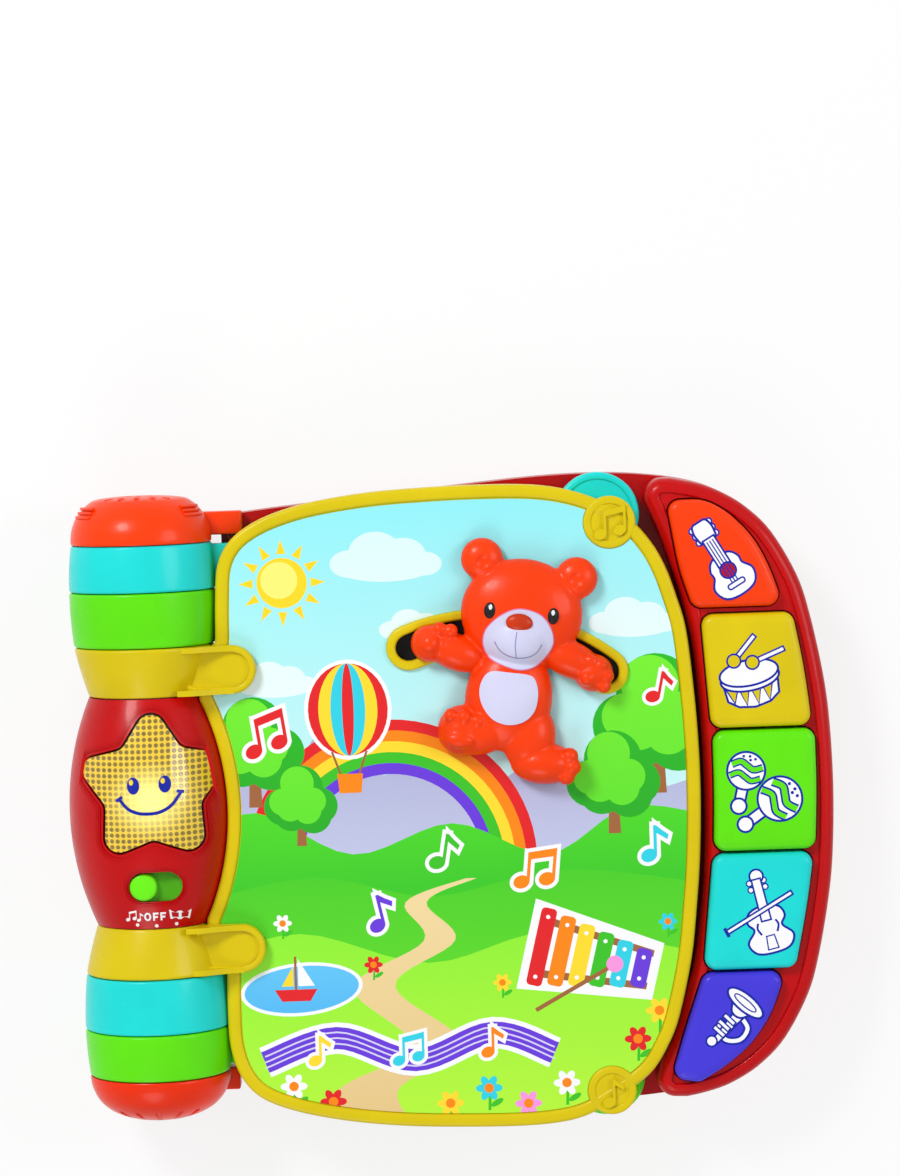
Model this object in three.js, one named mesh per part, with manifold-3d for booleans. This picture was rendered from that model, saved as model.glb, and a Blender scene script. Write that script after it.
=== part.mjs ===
// A toy sound book lying on its back: red base with keys, spine with a star light,
// a cover and two inner pages that turn on rings. Millimetres, +Z up, +Y towards the book's top.
// Y is counted from the middle of the spine; the last lines centre the book on its bounding box.
import * as THREE from 'three';
import { mergeVertices } from 'three/addons/utils/BufferGeometryUtils.js';
import Module from 'manifold-3d';

const wasm = await Module();
wasm.setup();

// Clearances
const seatGap = 0.3;
const ringGap = 0.3;
const turnGap = 0.6;
const keyGap = 0.6;
const screwGap = 0.2;

// Heights of the stack, from the table up
const trayHeight = 9;
const wall = 2;
const skin = 1.4;
const pageDeckHeight = 17.6;
const printThickness = 0.5;
const stackGap = 0.4;
const pageThickness = 6.4;
const coverBackThickness = 2;
const coverThickness = 8.3;
const recessDepth = 0.9;
const panelHeight = 36;
const keyTop = 40;

const pageThreeBottom = pageDeckHeight + printThickness + stackGap;
const pageTwoBottom = pageThreeBottom + pageThickness + stackGap;
const coverBottom = pageTwoBottom + pageThickness + stackGap;
const coverTop = coverBottom + coverThickness;
const coverSeam = coverBottom + coverBackThickness;
const coverFace = coverTop - recessDepth;

// Spine: a row of round sections along Y, radii at their edges
const spineX = -108.2;
const spineZ = 29.5;
const middleRadius = 29.2;
const middleHalf = 41;
const middleEndRadius = 20.6;
const yellowHalf = 59;
const yellowRadius = 25.3;
const innerHalf = 78.7;
const innerRadius = 26.4;
const ringsHalf = 95.5;
const ringsRadius = 25.2;
const capHeight = 17;
const capWall = 2.4;
const coreRadius = 18.3;
const coreWall = 2.3;
const coreHalf = ringsHalf + capHeight - 6.5;
const roundSides = 24;
const spineWall = 2.4;

// Cover, pages and base, seen from above
const coverRim = 4.6;
const pageRim = 5;
const pageInset = 1.5;
const pagePanel = 3.6;
const pageArmEnd = -77;
const inkRoughness = 0.45;
const baseLeft = -80;
const baseMiddle = 0.85;

// Arc slot in the cover and the teddy that slides in it
const arcX = 12.3;
const arcY = -10;
const arcRadius = 70.3;
const arcFrom = -21.5;
const arcTo = 39;
const slotHalf = 4.75;
const slotRimWidth = 3.4;
const slotRimHeight = 2.1;
const teddyAngle = (arcFrom + arcTo) / 2;
const carrierHalfLength = 9;
const carrierFoot = 1.5;
const teddyLift = 0.6;

// Star light and switch
const starX = -105.8;
const starY = 9.4;
const starOuter = 28.6;
const starInner = 18.2;
const starTip = 6;
const starRim = 1.4;
const lensWall = 2.4;
const lensSink = 1;
const lensInset = lensSink + lensWall;
const lampGap = 2.7;
const lampRadius = 2.5;
const lightBoardHalfX = 7.5;
const lightBoardHalfY = 8;
const switchX = -106;
const switchY = -25.5;
const switchHalfLength = 9.5;
const switchHalfWidth = 5.45;
const knobRadius = 4.9;
const switchDepth = 4.2;
const switchWellBottom = 44;
const switchPlateThickness = 1.2;

// Power and electronics
const batteryRadius = 7.1;
const batteryLength = 50;
const batteryX = -5;
const batteryY = 0;
const doorThickness = 1.6;
const boardThickness = 1.6;
const boardHeight = 14;
const padThickness = 1.4;
const domeHeight = 4;
const keyTravel = 2.5;

const colour = {
  red: 0xb8040a, orange: 0xfa4605, orangeRed: 0xeb3205, cyan: 0x25e6e0, green: 0x69eb0c,
  yellow: 0xdec812, sky: 0x9cecec, violet: 0x4338e0, black: 0x151515,
  lens: 0xe8c020, knob: 0x69eb14, slotGreen: 0x46a00a, board: 0x1c6b3a, steel: 0xb8bcc0,
  grey: 0x8a8d92, battery: 0x30343a, rubber: 0xd8d8d0, grass: 0x9be04a, cream: 0xf4f0dc,
};

const book = new THREE.Group();

function triangulated(geometry) {
  const bare = geometry.clone();
  bare.deleteAttribute('normal');
  bare.deleteAttribute('uv');
  const merged = mergeVertices(bare, 1e-4);
  const position = merged.attributes.position;
  const corner = [new THREE.Vector3(), new THREE.Vector3(), new THREE.Vector3()];
  const triangles = [];
  let volume = 0;
  for (let i = 0; i < merged.index.count; i += 3) {
    const ids = [0, 1, 2].map((k) => merged.index.getX(i + k));
    if (new Set(ids).size === 3) {
      ids.forEach((id, k) => corner[k].fromBufferAttribute(position, id));
      volume += corner[0].dot(corner[1].clone().cross(corner[2]));
      triangles.push(ids);
    }
  }
  const outward = volume < 0 ? triangles.map(([a, b, c]) => [a, c, b]) : triangles;
  return { vertices: position.array, triangles: outward.flat() };
}

function solid(geometry) {
  const { vertices, triangles } = triangulated(geometry);
  return new wasm.Manifold(new wasm.Mesh({
    numProp: 3,
    vertProperties: Float32Array.from(vertices),
    triVerts: Uint32Array.from(triangles),
  }));
}

function joined(...solids) {
  return solids.reduce((whole, next) => whole.add(next));
}

function add(name, shape, hue, roughness = 0.35, metalness = 0) {
  const cut = shape.getMesh();
  const geometry = new THREE.BufferGeometry();
  const positions = new Float32Array(cut.numVert * 3);
  for (let i = 0; i < cut.numVert; i += 1) {
    for (let k = 0; k < 3; k += 1) {
      positions[i * 3 + k] = cut.vertProperties[i * cut.numProp + k];
    }
  }
  geometry.setAttribute('position', new THREE.BufferAttribute(positions, 3));
  geometry.setIndex(new THREE.BufferAttribute(Uint32Array.from(cut.triVerts), 1));
  geometry.computeVertexNormals();
  const material = new THREE.MeshStandardMaterial({ color: hue, roughness, metalness });
  const mesh = new THREE.Mesh(geometry, material);
  mesh.name = name;
  book.add(mesh);
}

// Outlines are lists of Vector2, counter-clockwise
function grown(points, distance) {
  return points.map((point, i) => {
    const before = points[(i + points.length - 1) % points.length];
    const after = points[(i + 1) % points.length];
    const a = point.clone().sub(before).normalize();
    const b = after.clone().sub(point).normalize();
    const share = distance / (1 + a.dot(b));
    return new THREE.Vector2(point.x + (a.y + b.y) * share, point.y - (a.x + b.x) * share);
  });
}

function rounded(corners, radius, steps = 2) {
  const points = corners.map(([x, y]) => new THREE.Vector2(x, y));
  const result = [];
  points.forEach((point, i) => {
    const before = points[(i + points.length - 1) % points.length];
    const after = points[(i + 1) % points.length];
    const toBefore = before.clone().sub(point);
    const toAfter = after.clone().sub(point);
    const half = Math.acos(toBefore.dot(toAfter) / toBefore.length() / toAfter.length()) / 2;
    const limit = 0.48 * Math.min(toBefore.length(), toAfter.length());
    const reach = Math.min(radius / Math.tan(half), limit);
    const start = point.clone().addScaledVector(toBefore.normalize(), reach);
    const end = point.clone().addScaledVector(toAfter.normalize(), reach);
    result.push(...new THREE.QuadraticBezierCurve(start, point, end).getPoints(steps));
  });
  return result;
}

function circle(x, y, radius, sides = 20) {
  return Array.from({ length: sides }, (unused, i) => {
    const turn = (i / sides) * 2 * Math.PI;
    return new THREE.Vector2(x + radius * Math.cos(turn), y + radius * Math.sin(turn));
  });
}

function stadium(x, y, halfLength, halfWidth) {
  const reach = halfLength - halfWidth;
  return circle(0, 0, halfWidth).map((p) => {
    const side = Math.abs(p.x) < 1e-6 ? 0 : Math.sign(p.x);
    return new THREE.Vector2(x + p.x + side * reach, y + p.y);
  });
}

function arcBand(from, to, halfWidth, steps = 10) {
  const at = (degrees, radius) => {
    const turn = THREE.MathUtils.degToRad(degrees);
    return new THREE.Vector2(arcX + radius * Math.sin(turn), arcY + radius * Math.cos(turn));
  };
  const points = [];
  for (let i = 0; i <= steps; i += 1) {
    points.push(at(to + ((from - to) * i) / steps, arcRadius + halfWidth));
  }
  points.push(...bandEnd(at(from, arcRadius), from, 90, halfWidth));
  for (let i = 0; i <= steps; i += 1) {
    points.push(at(from + ((to - from) * i) / steps, arcRadius - halfWidth));
  }
  points.push(...bandEnd(at(to, arcRadius), to, -90, halfWidth));
  return points;
}

function bandEnd(middle, degrees, side, halfWidth) {
  return [-60, -30, 0, 30, 60].map((bend) => {
    const turn = THREE.MathUtils.degToRad(90 - degrees + side + bend);
    return new THREE.Vector2(
      middle.x + halfWidth * Math.cos(turn),
      middle.y + halfWidth * Math.sin(turn),
    );
  });
}

function prism(points, bottom, top, bevel = 0, segments = 2) {
  const geometry = new THREE.ExtrudeGeometry(new THREE.Shape(points), {
    depth: top - bottom - 2 * bevel,
    steps: 1,
    bevelEnabled: bevel > 0,
    bevelThickness: bevel,
    bevelSize: bevel,
    bevelOffset: -bevel,
    bevelSegments: segments,
  });
  geometry.translate(0, 0, bottom + bevel);
  return solid(geometry);
}

// A prism whose top edge alone is rounded
function domedPrism(points, bottom, top, bevel, segments = 2) {
  return prism(points, bottom - 2 * bevel, top, bevel, segments).intersect(slab(bottom, top));
}

function block(x0, x1, y0, y1, z0, z1) {
  const geometry = new THREE.BoxGeometry(x1 - x0, y1 - y0, z1 - z0);
  geometry.translate((x0 + x1) / 2, (y0 + y1) / 2, (z0 + z1) / 2);
  return solid(geometry);
}

function slab(z0, z1) {
  return block(-300, 300, -300, 300, z0, z1);
}

function rod(x, y, z0, z1, radius, sides = 10) {
  const geometry = new THREE.CylinderGeometry(radius, radius, z1 - z0, sides);
  geometry.rotateX(Math.PI / 2);
  geometry.translate(x, y, (z0 + z1) / 2);
  return solid(geometry);
}

function ellipsoid(x, y, z, halfX, halfY, halfZ, turn = 0) {
  const geometry = new THREE.SphereGeometry(1, 12, 6);
  geometry.rotateX(Math.PI / 2);
  geometry.scale(halfX, halfY, halfZ);
  geometry.rotateZ(THREE.MathUtils.degToRad(turn));
  geometry.translate(x, y, z);
  return solid(geometry);
}

// Turned about the spine's axis: a profile of [radius, distance along Y]
function turned(profile, sides = roundSides) {
  const points = profile.map(([radius, y]) => new THREE.Vector2(radius, y));
  const geometry = new THREE.LatheGeometry(points, sides);
  geometry.translate(spineX, 0, spineZ);
  return solid(geometry);
}

function middleAt(y) {
  const sag = middleRadius - middleEndRadius;
  const bow = (middleHalf ** 2 + sag ** 2) / (2 * sag);
  return middleRadius - bow + Math.sqrt(bow ** 2 - y ** 2);
}

function middleProfile(inset, half = middleHalf, steps = 6) {
  const profile = [[0, -half]];
  for (let i = 0; i <= steps; i += 1) {
    const y = -half + (2 * half * i) / steps;
    profile.push([middleAt(y) - inset, y]);
  }
  profile.push([0, half]);
  return profile;
}

// Everything round that the pages turn past, grown by a clearance
function barrel(extra) {
  const side = [];
  const steps = 3;
  for (let i = 0; i <= steps; i += 1) {
    const y = (middleHalf * i) / steps;
    side.push([middleAt(y) + extra, y]);
  }
  const ends = [
    [yellowRadius, yellowHalf], [innerRadius, innerHalf], [ringsRadius, ringsHalf],
    [ringsRadius, ringsHalf + capHeight],
  ];
  ends.forEach(([radius, y]) => side.push([radius + extra, y]));
  const lower = side.slice(1).reverse().map(([radius, y]) => [radius, -y]);
  const end = ringsHalf + capHeight;
  return turned([[0, -end], ...lower, ...side, [0, end]]);
}

function ring(y0, y1, radius0, radius1) {
  const a = y0 + ringGap / 2;
  const b = y1 - ringGap / 2;
  const inner = coreRadius + ringGap + 0.2;
  const middle = (radius0 + radius1) / 2 + 0.3;
  return turned([
    [inner, a], [radius0, a], [middle, (a + b) / 2], [radius1, b], [inner, b], [inner, a],
  ]);
}

function spline(start, points, divisions = 2) {
  const shape = new THREE.Shape();
  shape.moveTo(start[0][0], start[0][1]);
  start.slice(1).forEach(([x, y]) => shape.lineTo(x, y));
  shape.splineThru(points.map(([x, y]) => new THREE.Vector2(x, y)));
  const outline = shape.getPoints(divisions);
  if (outline[0].distanceTo(outline[outline.length - 1]) < 0.5) outline.pop();
  return outline;
}

const coverOutline = spline([[-82.6, 59.5], [-89, 57], [-89, -57], [-82.6, -59.5]], [
  [-82.8, -72], [-82.4, -85], [-79.3, -96], [-72.5, -104.4], [-60, -110], [-41.7, -114.2],
  [-20.9, -116.8], [0, -117.9], [20.3, -118.3], [34, -117.6], [44, -115.6], [53, -111.3],
  [61.5, -106], [69.4, -99.5], [75.1, -90.5], [79.3, -80.2], [84.2, -59.6], [86.6, -40.8],
  [88.2, -23.9], [89.1, -3], [89, 15.9], [87.9, 35.9], [85.7, 58.5], [82.7, 70.3],
  [78.9, 81.5], [74, 90.5], [66.6, 99], [57.3, 105.2], [45.7, 109.6], [32, 112],
  [12, 112.6], [-8, 112.2], [-26, 111.2], [-44.5, 108.8], [-57, 105.9], [-68, 101.6],
  [-76.3, 95.5], [-80.8, 87], [-82, 75], [-82.4, 62],
], 1);

const upperBase = [
  [137.5, 0], [136.8, 22], [135, 39.2], [130.8, 61], [126.3, 75.9], [117.6, 91.5],
  [108.9, 100.5], [100.3, 106.1], [91.6, 109.6], [78.6, 112.2], [60, 113.8], [35, 113.4],
  [0, 110.6], [-40, 107], [-66, 104.6], [-76, 103], [-79.4, 99.5],
];
const lowerBase = upperBase.slice(1).reverse().map(([x, y]) => [x, -y]);
const baseOutline = spline([[baseLeft, 97], [baseLeft, -97]], [...lowerBase, ...upperBase], 1)
  .map((point) => new THREE.Vector2(point.x, point.y + baseMiddle));

const panelEdge = spline([[220, -140], [220, 140], [66, 140]], [
  [68.5, 115], [73, 104], [78, 92], [82, 79], [85.6, 65], [88.4, 50], [90.3, 25], [90.9, 0],
  [90.3, -25], [88.2, -45], [85.5, -62], [82.4, -72], [78.4, -85.6], [74.6, -94], [69.8, -104],
  [68, -116], [67, -140],
], 1);

const keys = {
  key_orange: {
    hue: colour.orange,
    corners: [[88.6, 66], [120.9, 66], [115.9, 81], [110.4, 91.4], [101.7, 100.2],
      [93.4, 104.9], [80, 104.7], [84, 80]],
    middle: [98, 84],
  },
  key_yellow: {
    hue: colour.yellow,
    corners: [[93.8, 22.7], [129.9, 22.7], [127.6, 44], [123.9, 63.5], [91.2, 63.5]],
    middle: [110.4, 43],
  },
  key_green: {
    hue: colour.green,
    corners: [[93.5, -21.7], [129.9, -21.7], [131, 0], [130.8, 21.6], [94.2, 21.6], [94.3, 0]],
    middle: [112, 0],
  },
  key_cyan: {
    hue: colour.cyan,
    corners: [[88.6, -64.5], [121.6, -64.5], [126.2, -43], [129.3, -22.8], [93.2, -22.8]],
    middle: [108.6, -43],
  },
  key_violet: {
    hue: colour.violet,
    corners: [[75.8, -103.4], [86, -104.9], [95, -99.8], [104.6, -92.2], [112.4, -81.4],
      [118.1, -65.6], [88.6, -65.6], [81.4, -85.8]],
    middle: [95.5, -83],
  },
};
const keyCorner = 4.2;
const keyWall = 1.8;
Object.values(keys).forEach((key) => { key.outline = rounded(key.corners, keyCorner); });

const keyFoot = panelHeight - 7;
const keyStemRadius = 4;
const keyEdge = 1.6;

const screwPlaces = [[-70, 88], [-70, -86], [20, 104], [20, -102], [66, 30], [66, -28]];
const bossRadius = 4;
const screwHead = 2.9;
const screwShank = 1.4;
const screwHeadHeight = 1.6;
const screwSink = 1.6;
const screwLength = 11.5;
const driveHalf = 0.4;
const doorScrewHeadHeight = 0.7;
const doorLedge = 0.8;

function screw(x, y, headBottom, length, headHeight) {
  const head = rod(x, y, headBottom, headBottom + headHeight, screwHead);
  const shank = rod(x, y, headBottom + headHeight / 2, headBottom + length, screwShank);
  const slotDepth = headHeight / 2.2;
  const slot = block(
    x - screwHead, x + screwHead, y - driveHalf, y + driveHalf, headBottom - 1, headBottom + slotDepth,
  );
  return joined(head, shank).subtract(slot);
}

const postHeight = boardHeight - seatGap;
const boardOutline = rounded([
  [82, -97], [92, -97], [108, -84], [118, -64], [127, -22], [127, 22], [119, 66], [111, 85],
  [99, 98], [84, 98], [87.5, 84], [91, 66], [96, 22], [96, -22], [91, -64], [85, -84],
], 3);
const boardPosts = [[90, 90], [112, 60], [104, 0], [110, -60], [90, -88]];

const doorHalfX = 38;
const doorHalfY = 19;
const doorScrewX = batteryX + doorHalfX - 5;
const seatLeft = -98;
const seatHalf = middleHalf - 3;
const boxWall = 1.5;

function baseTray() {
  const floor = wall;
  let shape = prism(baseOutline, 0, trayHeight);
  shape = shape.subtract(prism(grown(baseOutline, -wall), floor, trayHeight + 1));
  const seat = block(seatLeft, baseLeft - seatGap, -seatHalf, seatHalf, 1, trayHeight + 5)
    .add(block(seatLeft, baseLeft + 1, -seatHalf, seatHalf, 1, trayHeight));
  const rear = turned(middleProfile(0, middleHalf - ringGap / 2))
    .intersect(slab(0, spineZ - seatGap / 2));
  shape = joined(shape, rear.add(seat));
  shape = shape.subtract(turned([
    [0, -middleHalf - 1], [coreRadius + seatGap, -middleHalf - 1],
    [coreRadius + seatGap, middleHalf + 1], [0, middleHalf + 1],
  ]));
  screwPlaces.forEach(([x, y]) => {
    shape = shape.add(rod(x, y, floor - 0.5, trayHeight - seatGap, bossRadius));
  });
  screwPlaces.forEach(([x, y]) => {
    shape = shape.subtract(rod(x, y, -1, 3.5, screwHead + screwGap));
    shape = shape.subtract(rod(x, y, 3, trayHeight + 1, screwShank + screwGap));
  });
  boardPosts.forEach(([x, y]) => {
    shape = shape.add(rod(x, y, floor - 0.5, postHeight, 3));
  });
  const cell = batteryRadius + seatGap;
  const wellX = batteryLength / 2 + 3;
  const wellY = 2 * cell + 0.6;
  const boxX = wellX + boxWall;
  const boxY = wellY + boxWall;
  const box = block(batteryX - boxX, batteryX + boxX, batteryY - boxY, batteryY + boxY,
    floor - 0.5, pageDeckHeight - skin - seatGap);
  const hollow = block(batteryX - wellX, batteryX + wellX, batteryY - wellY, batteryY + wellY,
    floor, pageDeckHeight);
  shape = shape.add(box.subtract(hollow));
  shape = shape.add(rod(doorScrewX, batteryY, floor - 0.5, trayHeight, bossRadius - 1));
  shape = shape.subtract(block(batteryX - doorHalfX - seatGap, batteryX + doorHalfX + seatGap,
    batteryY - doorHalfY - seatGap, batteryY + doorHalfY + seatGap, -1, doorThickness));
  shape = shape.subtract(block(batteryX - wellX, batteryX + wellX, batteryY - wellY,
    batteryY + wellY, -1, floor + 1));
  shape = shape.subtract(rod(doorScrewX, batteryY, -1, trayHeight - 1, screwShank + screwGap));
  return shape;
}

function basePanel() {
  const region = prism(panelEdge, 0, panelHeight + 20);
  const bevel = 4;
  let shape = prism(baseOutline, trayHeight, pageDeckHeight);
  const raised = domedPrism(baseOutline, trayHeight, panelHeight, bevel).intersect(region);
  shape = shape.add(raised);
  const under = prism(grown(baseOutline, -wall), trayHeight - 1, pageDeckHeight - skin);
  const inside = prism(grown(baseOutline, -wall - 2), trayHeight - 1, panelHeight - wall)
    .intersect(prism(grown(panelEdge, -wall), 0, panelHeight));
  shape = shape.subtract(under).subtract(inside);
  Object.values(keys).forEach((key) => {
    const well = prism(grown(key.outline, keyGap), panelHeight - wall - 1, panelHeight + 5);
    shape = shape.subtract(well);
  });
  screwPlaces.forEach(([x, y]) => {
    shape = shape.add(rod(x, y, trayHeight, pageDeckHeight - skin + 0.5, bossRadius));
    shape = shape.subtract(rod(x, y, trayHeight - 1, trayHeight + 5, screwShank + screwGap));
  });
  return shape;
}

function plateCut(points, bottom, top, extra) {
  return prism(points, bottom, top).subtract(barrel(extra));
}

function page(bottom, tab, rings) {
  const outline = grown(coverOutline, -pageInset);
  const top = bottom + pageThickness;
  const recess = (pageThickness - pagePanel) / 2;
  const disc = prism(circle(tab.x, tab.y, tab.radius, roundSides), bottom, top);
  let shape = prism(outline, bottom, top).add(disc).subtract(barrel(turnGap));
  const field = grown(outline, -pageRim);
  shape = shape.subtract(plateCut(field, top - recess, top + 1, turnGap + pageRim));
  shape = shape.subtract(plateCut(field, bottom - 1, bottom + recess, turnGap + pageRim));
  rings.forEach(([y0, y1, radius0, radius1]) => {
    const arm = block(spineX + 20, pageArmEnd, y0 + 1, y1 - 1, bottom, top);
    shape = joined(shape, ring(y0, y1, radius0, radius1), arm);
  });
  return shape;
}

function pagePrint(bottom, top) {
  const field = grown(coverOutline, -pageInset - pageRim - seatGap);
  return plateCut(field, bottom, top, turnGap + pageRim + seatGap);
}

function addPage(name, hue, bottom, tab, rings) {
  const top = bottom + pageThickness;
  const recess = (pageThickness - pagePanel) / 2;
  add(name, page(bottom, tab, rings), hue);
  const front = pagePrint(top - recess, top - recess + printThickness);
  const back = pagePrint(bottom + recess - printThickness, bottom + recess);
  add(`${name}_front_print`, front, colour.sky, inkRoughness);
  add(`${name}_back_print`, back, colour.cream, inkRoughness);
}

const slotOutline = arcBand(arcFrom, arcTo, slotHalf);
const slotRimOutline = arcBand(arcFrom, arcTo, slotHalf + slotRimWidth);
const medallions = [{ x: 59.4, y: 97.8, radius: 9.4 }, { x: 54.2, y: -106.3, radius: 8.8 }];
const backRecess = printThickness + 0.1;

function coverFront() {
  let shape = prism(coverOutline, coverSeam, coverTop).subtract(barrel(turnGap));
  const inside = grown(coverOutline, -coverRim);
  const hollow = plateCut(inside, coverSeam - 1, coverFace - wall, turnGap + coverRim);
  const field = plateCut(inside, coverFace, coverTop + 1, turnGap + coverRim);
  shape = shape.subtract(hollow).subtract(field);
  medallions.forEach(({ x, y, radius }) => {
    const pad = prism(circle(x, y, radius), coverFace - wall, coverTop)
      .intersect(prism(coverOutline, coverSeam, coverTop));
    shape = shape.add(pad);
  });
  const slotTop = coverFace + slotRimHeight;
  shape = shape.add(prism(slotRimOutline, coverFace - 0.5, slotTop));
  return shape.subtract(prism(slotOutline, coverSeam - 1, slotTop + 1));
}

function coverBack() {
  const shape = prism(coverOutline, coverBottom, coverSeam).subtract(barrel(turnGap));
  const field = grown(coverOutline, -coverRim);
  return shape.subtract(plateCut(field, coverBottom - 1, coverBottom + backRecess, turnGap + coverRim));
}

function coverPrint(bottom, top) {
  const extra = coverRim + seatGap;
  return plateCut(grown(coverOutline, -extra), bottom, top, turnGap + extra);
}

function frontPrint() {
  let shape = coverPrint(coverFace, coverFace + printThickness);
  const above = coverFace + printThickness + 1;
  shape = shape.subtract(prism(grown(slotRimOutline, seatGap), coverFace - 1, above));
  medallions.forEach(({ x, y, radius }) => {
    shape = shape.subtract(prism(circle(x, y, radius + seatGap), coverFace - 1, above));
  });
  return shape;
}

const tabHeight = 3.8;
const tabLeft = spineX + 13;
const tabRight = -68.1;
const tabEdge = 0.8;
const dishInset = 2.2;
const dishDepth = 1.3;

function coverRing(side) {
  const [y0, y1] = side > 0 ? [middleHalf, yellowHalf] : [-yellowHalf, -middleHalf];
  const radii = [middleEndRadius, yellowRadius];
  const [radius0, radius1] = side > 0 ? radii : radii.reverse();
  const middle = (y0 + y1) / 2;
  const half = (yellowHalf - middleHalf) / 2 - 0.3;
  const bottom = coverTop + seatGap;
  const top = bottom + tabHeight;
  const length = (tabRight - tabLeft) / 2;
  const x = tabRight - length;
  const outer = prism(stadium(x, middle, length, half), bottom, top, tabEdge, 1)
    .add(block(tabLeft, x, middle - half, middle + half, bottom, top));
  const dishOutline = stadium(x + 3, middle, length - 3 - dishInset, half - dishInset);
  const dish = prism(dishOutline, top - dishDepth, top + 1);
  const bore = turned([
    [0, y0 - 1], [coreRadius + 2, y0 - 1], [coreRadius + 2, y1 + 1], [0, y1 + 1],
  ]);
  return joined(ring(y0, y1, radius0, radius1), outer.subtract(dish).subtract(bore));
}

function teddy() {
  const back = coverFace + slotRimHeight + seatGap;
  const forms = [
    [27.1, 66.5, 21.8, 19.6, 9.4, -8.5], [13.6, 86.4, 7.6, 7.6, 5, 0], [47, 78.4, 7.6, 7.6, 5, 0],
    [25.6, 57.8, 12.6, 10.8, 11, -8.5], [21.5, 36.5, 15.6, 19.5, 9, -8.5],
    [3, 53.6, 11, 6.6, 6.6, -24], [-5.8, 56.9, 7, 6.8, 6.8, 0],
    [44, 49.5, 12, 6.6, 6.6, -26], [52, 44.4, 7, 6.8, 6.8, 0],
    [10.6, 25, 12, 8.6, 7.6, 8], [4.6, 25.4, 8.9, 9.2, 8.4, 0],
    [28.4, 22, 9.4, 12.4, 7.6, -10], [33.4, 12.6, 12.2, 7.4, 8.2, -4],
  ];
  const parts = forms.map(([x, y, halfX, halfY, halfZ, turn]) => (
    ellipsoid(x, y, back + teddyLift, halfX, halfY, halfZ, turn)
  ));
  return joined(...parts).intersect(slab(back, back + 20));
}

function teddyCarrier() {
  const half = THREE.MathUtils.radToDeg(carrierHalfLength / arcRadius);
  const pin = arcBand(teddyAngle - half, teddyAngle + half, slotHalf - 0.5, 4);
  const foot = arcBand(teddyAngle - half, teddyAngle + half, slotHalf + 3, 4);
  const under = coverFace - wall - seatGap;
  return joined(
    prism(pin, under - 1, coverFace + slotRimHeight),
    prism(foot, under - carrierFoot, under),
  );
}

const starCorners = Array.from({ length: 10 }, (unused, i) => {
  const turn = THREE.MathUtils.degToRad(90 + 36 * i);
  const radius = i % 2 ? starInner : starOuter;
  return [starX + radius * Math.cos(turn), starY + radius * Math.sin(turn)];
});
const starOutline = rounded(starCorners, starTip);
const topHalf = slab(spineZ, 100);

function spineFront() {
  const half = middleHalf - ringGap / 2;
  let shape = turned(middleProfile(0, half)).subtract(turned(middleProfile(spineWall, half)));
  const collar = turned([
    [coreRadius + seatGap, -half], [middleEndRadius, -half], [middleAt(half - 4) - 1, 4 - half],
    [coreRadius + seatGap, 4 - half], [coreRadius + seatGap, -half],
  ]);
  const bore = turned([
    [0, -half - 1], [coreRadius + seatGap, -half - 1], [coreRadius + seatGap, half + 1], [0, half + 1],
  ]);
  shape = shape.add(collar).add(mirroredY(collar)).subtract(bore);
  shape = shape.intersect(slab(spineZ + seatGap / 2, 100));
  shape = shape.subtract(prism(grown(starOutline, seatGap), spineZ + 2, 100));
  const rimCut = prism(grown(starOutline, starRim), spineZ + 2, 100)
    .subtract(turned(middleProfile(lensSink, half)));
  const slot = prism(stadium(switchX, switchY, switchHalfLength, switchHalfWidth), switchWellBottom, 100);
  return shape.subtract(rimCut).subtract(slot);
}

function mirroredY(shape) {
  return shape.mirror([0, 1, 0]);
}

function starLens() {
  const outer = turned(middleProfile(lensSink)).subtract(turned(middleProfile(lensInset)));
  return outer.intersect(prism(starOutline, spineZ + 2, 100)).intersect(topHalf);
}

const holeTilt = 42;
const holeRadius = 1.2;
const holeRows = [6, 11];

function speakerHoles(top) {
  const holes = [];
  holeRows.forEach((radius) => {
    for (let i = -2; i <= 2; i += 1) {
      const turn = THREE.MathUtils.degToRad(90 + i * holeTilt);
      const hole = new THREE.CylinderGeometry(holeRadius, holeRadius, 12, 6);
      hole.translate(spineX + radius * Math.cos(turn), top - 2, spineZ + radius * Math.sin(turn));
      holes.push(solid(hole));
    }
  });
  return joined(...holes);
}

function cap(side) {
  const base = ringsHalf + ringGap / 2;
  const top = ringsHalf + capHeight;
  const inner = coreRadius + seatGap;
  const profile = [
    [inner, base], [ringsRadius, base], [ringsRadius, base + 2], [ringsRadius - 0.8, base + 5.4],
    [22.2, base + 9.4], [18.6, base + 12.6], [17.4, base + 14.4], [16.6, base + 14.4],
    [14.4, base + 15.8], [7, top - 0.2], [0, top], [0, top - capWall], [14, top - capWall - 1.8],
    [inner, coreHalf + 1], [inner, base],
  ];
  const armTop = side > 0 ? pageDeckHeight + 10 : pageDeckHeight - 2;
  const armBottom = side > 0 ? pageDeckHeight + seatGap : trayHeight - 4;
  const armEnd = side > 0 ? -72 : baseLeft - seatGap;
  const arm = block(spineX + 19, armEnd, ringsHalf + 2, ringsHalf + 10.3, armBottom, armTop);
  const bore = turned([[0, ringsHalf - 5], [21, ringsHalf - 5], [21, ringsHalf + 12], [0, ringsHalf + 12]]);
  const shape = turned(profile).add(arm.subtract(bore)).subtract(speakerHoles(top));
  return side > 0 ? shape : mirroredY(shape);
}

function core() {
  const inner = coreRadius - coreWall;
  return turned([
    [inner, -coreHalf], [coreRadius, -coreHalf], [coreRadius, coreHalf], [inner, coreHalf],
    [inner, -coreHalf],
  ]);
}

function speaker() {
  const edge = coreRadius - coreWall - seatGap;
  const front = coreHalf - 0.6;
  return turned([
    [0, front - 7], [7, front - 7], [7, front - 4], [edge, front - 1.6], [edge, front],
    [edge - 1.6, front], [edge - 3, front - 1.2], [5, front - 2.4], [0, front - 1.4],
  ], 24);
}

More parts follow.
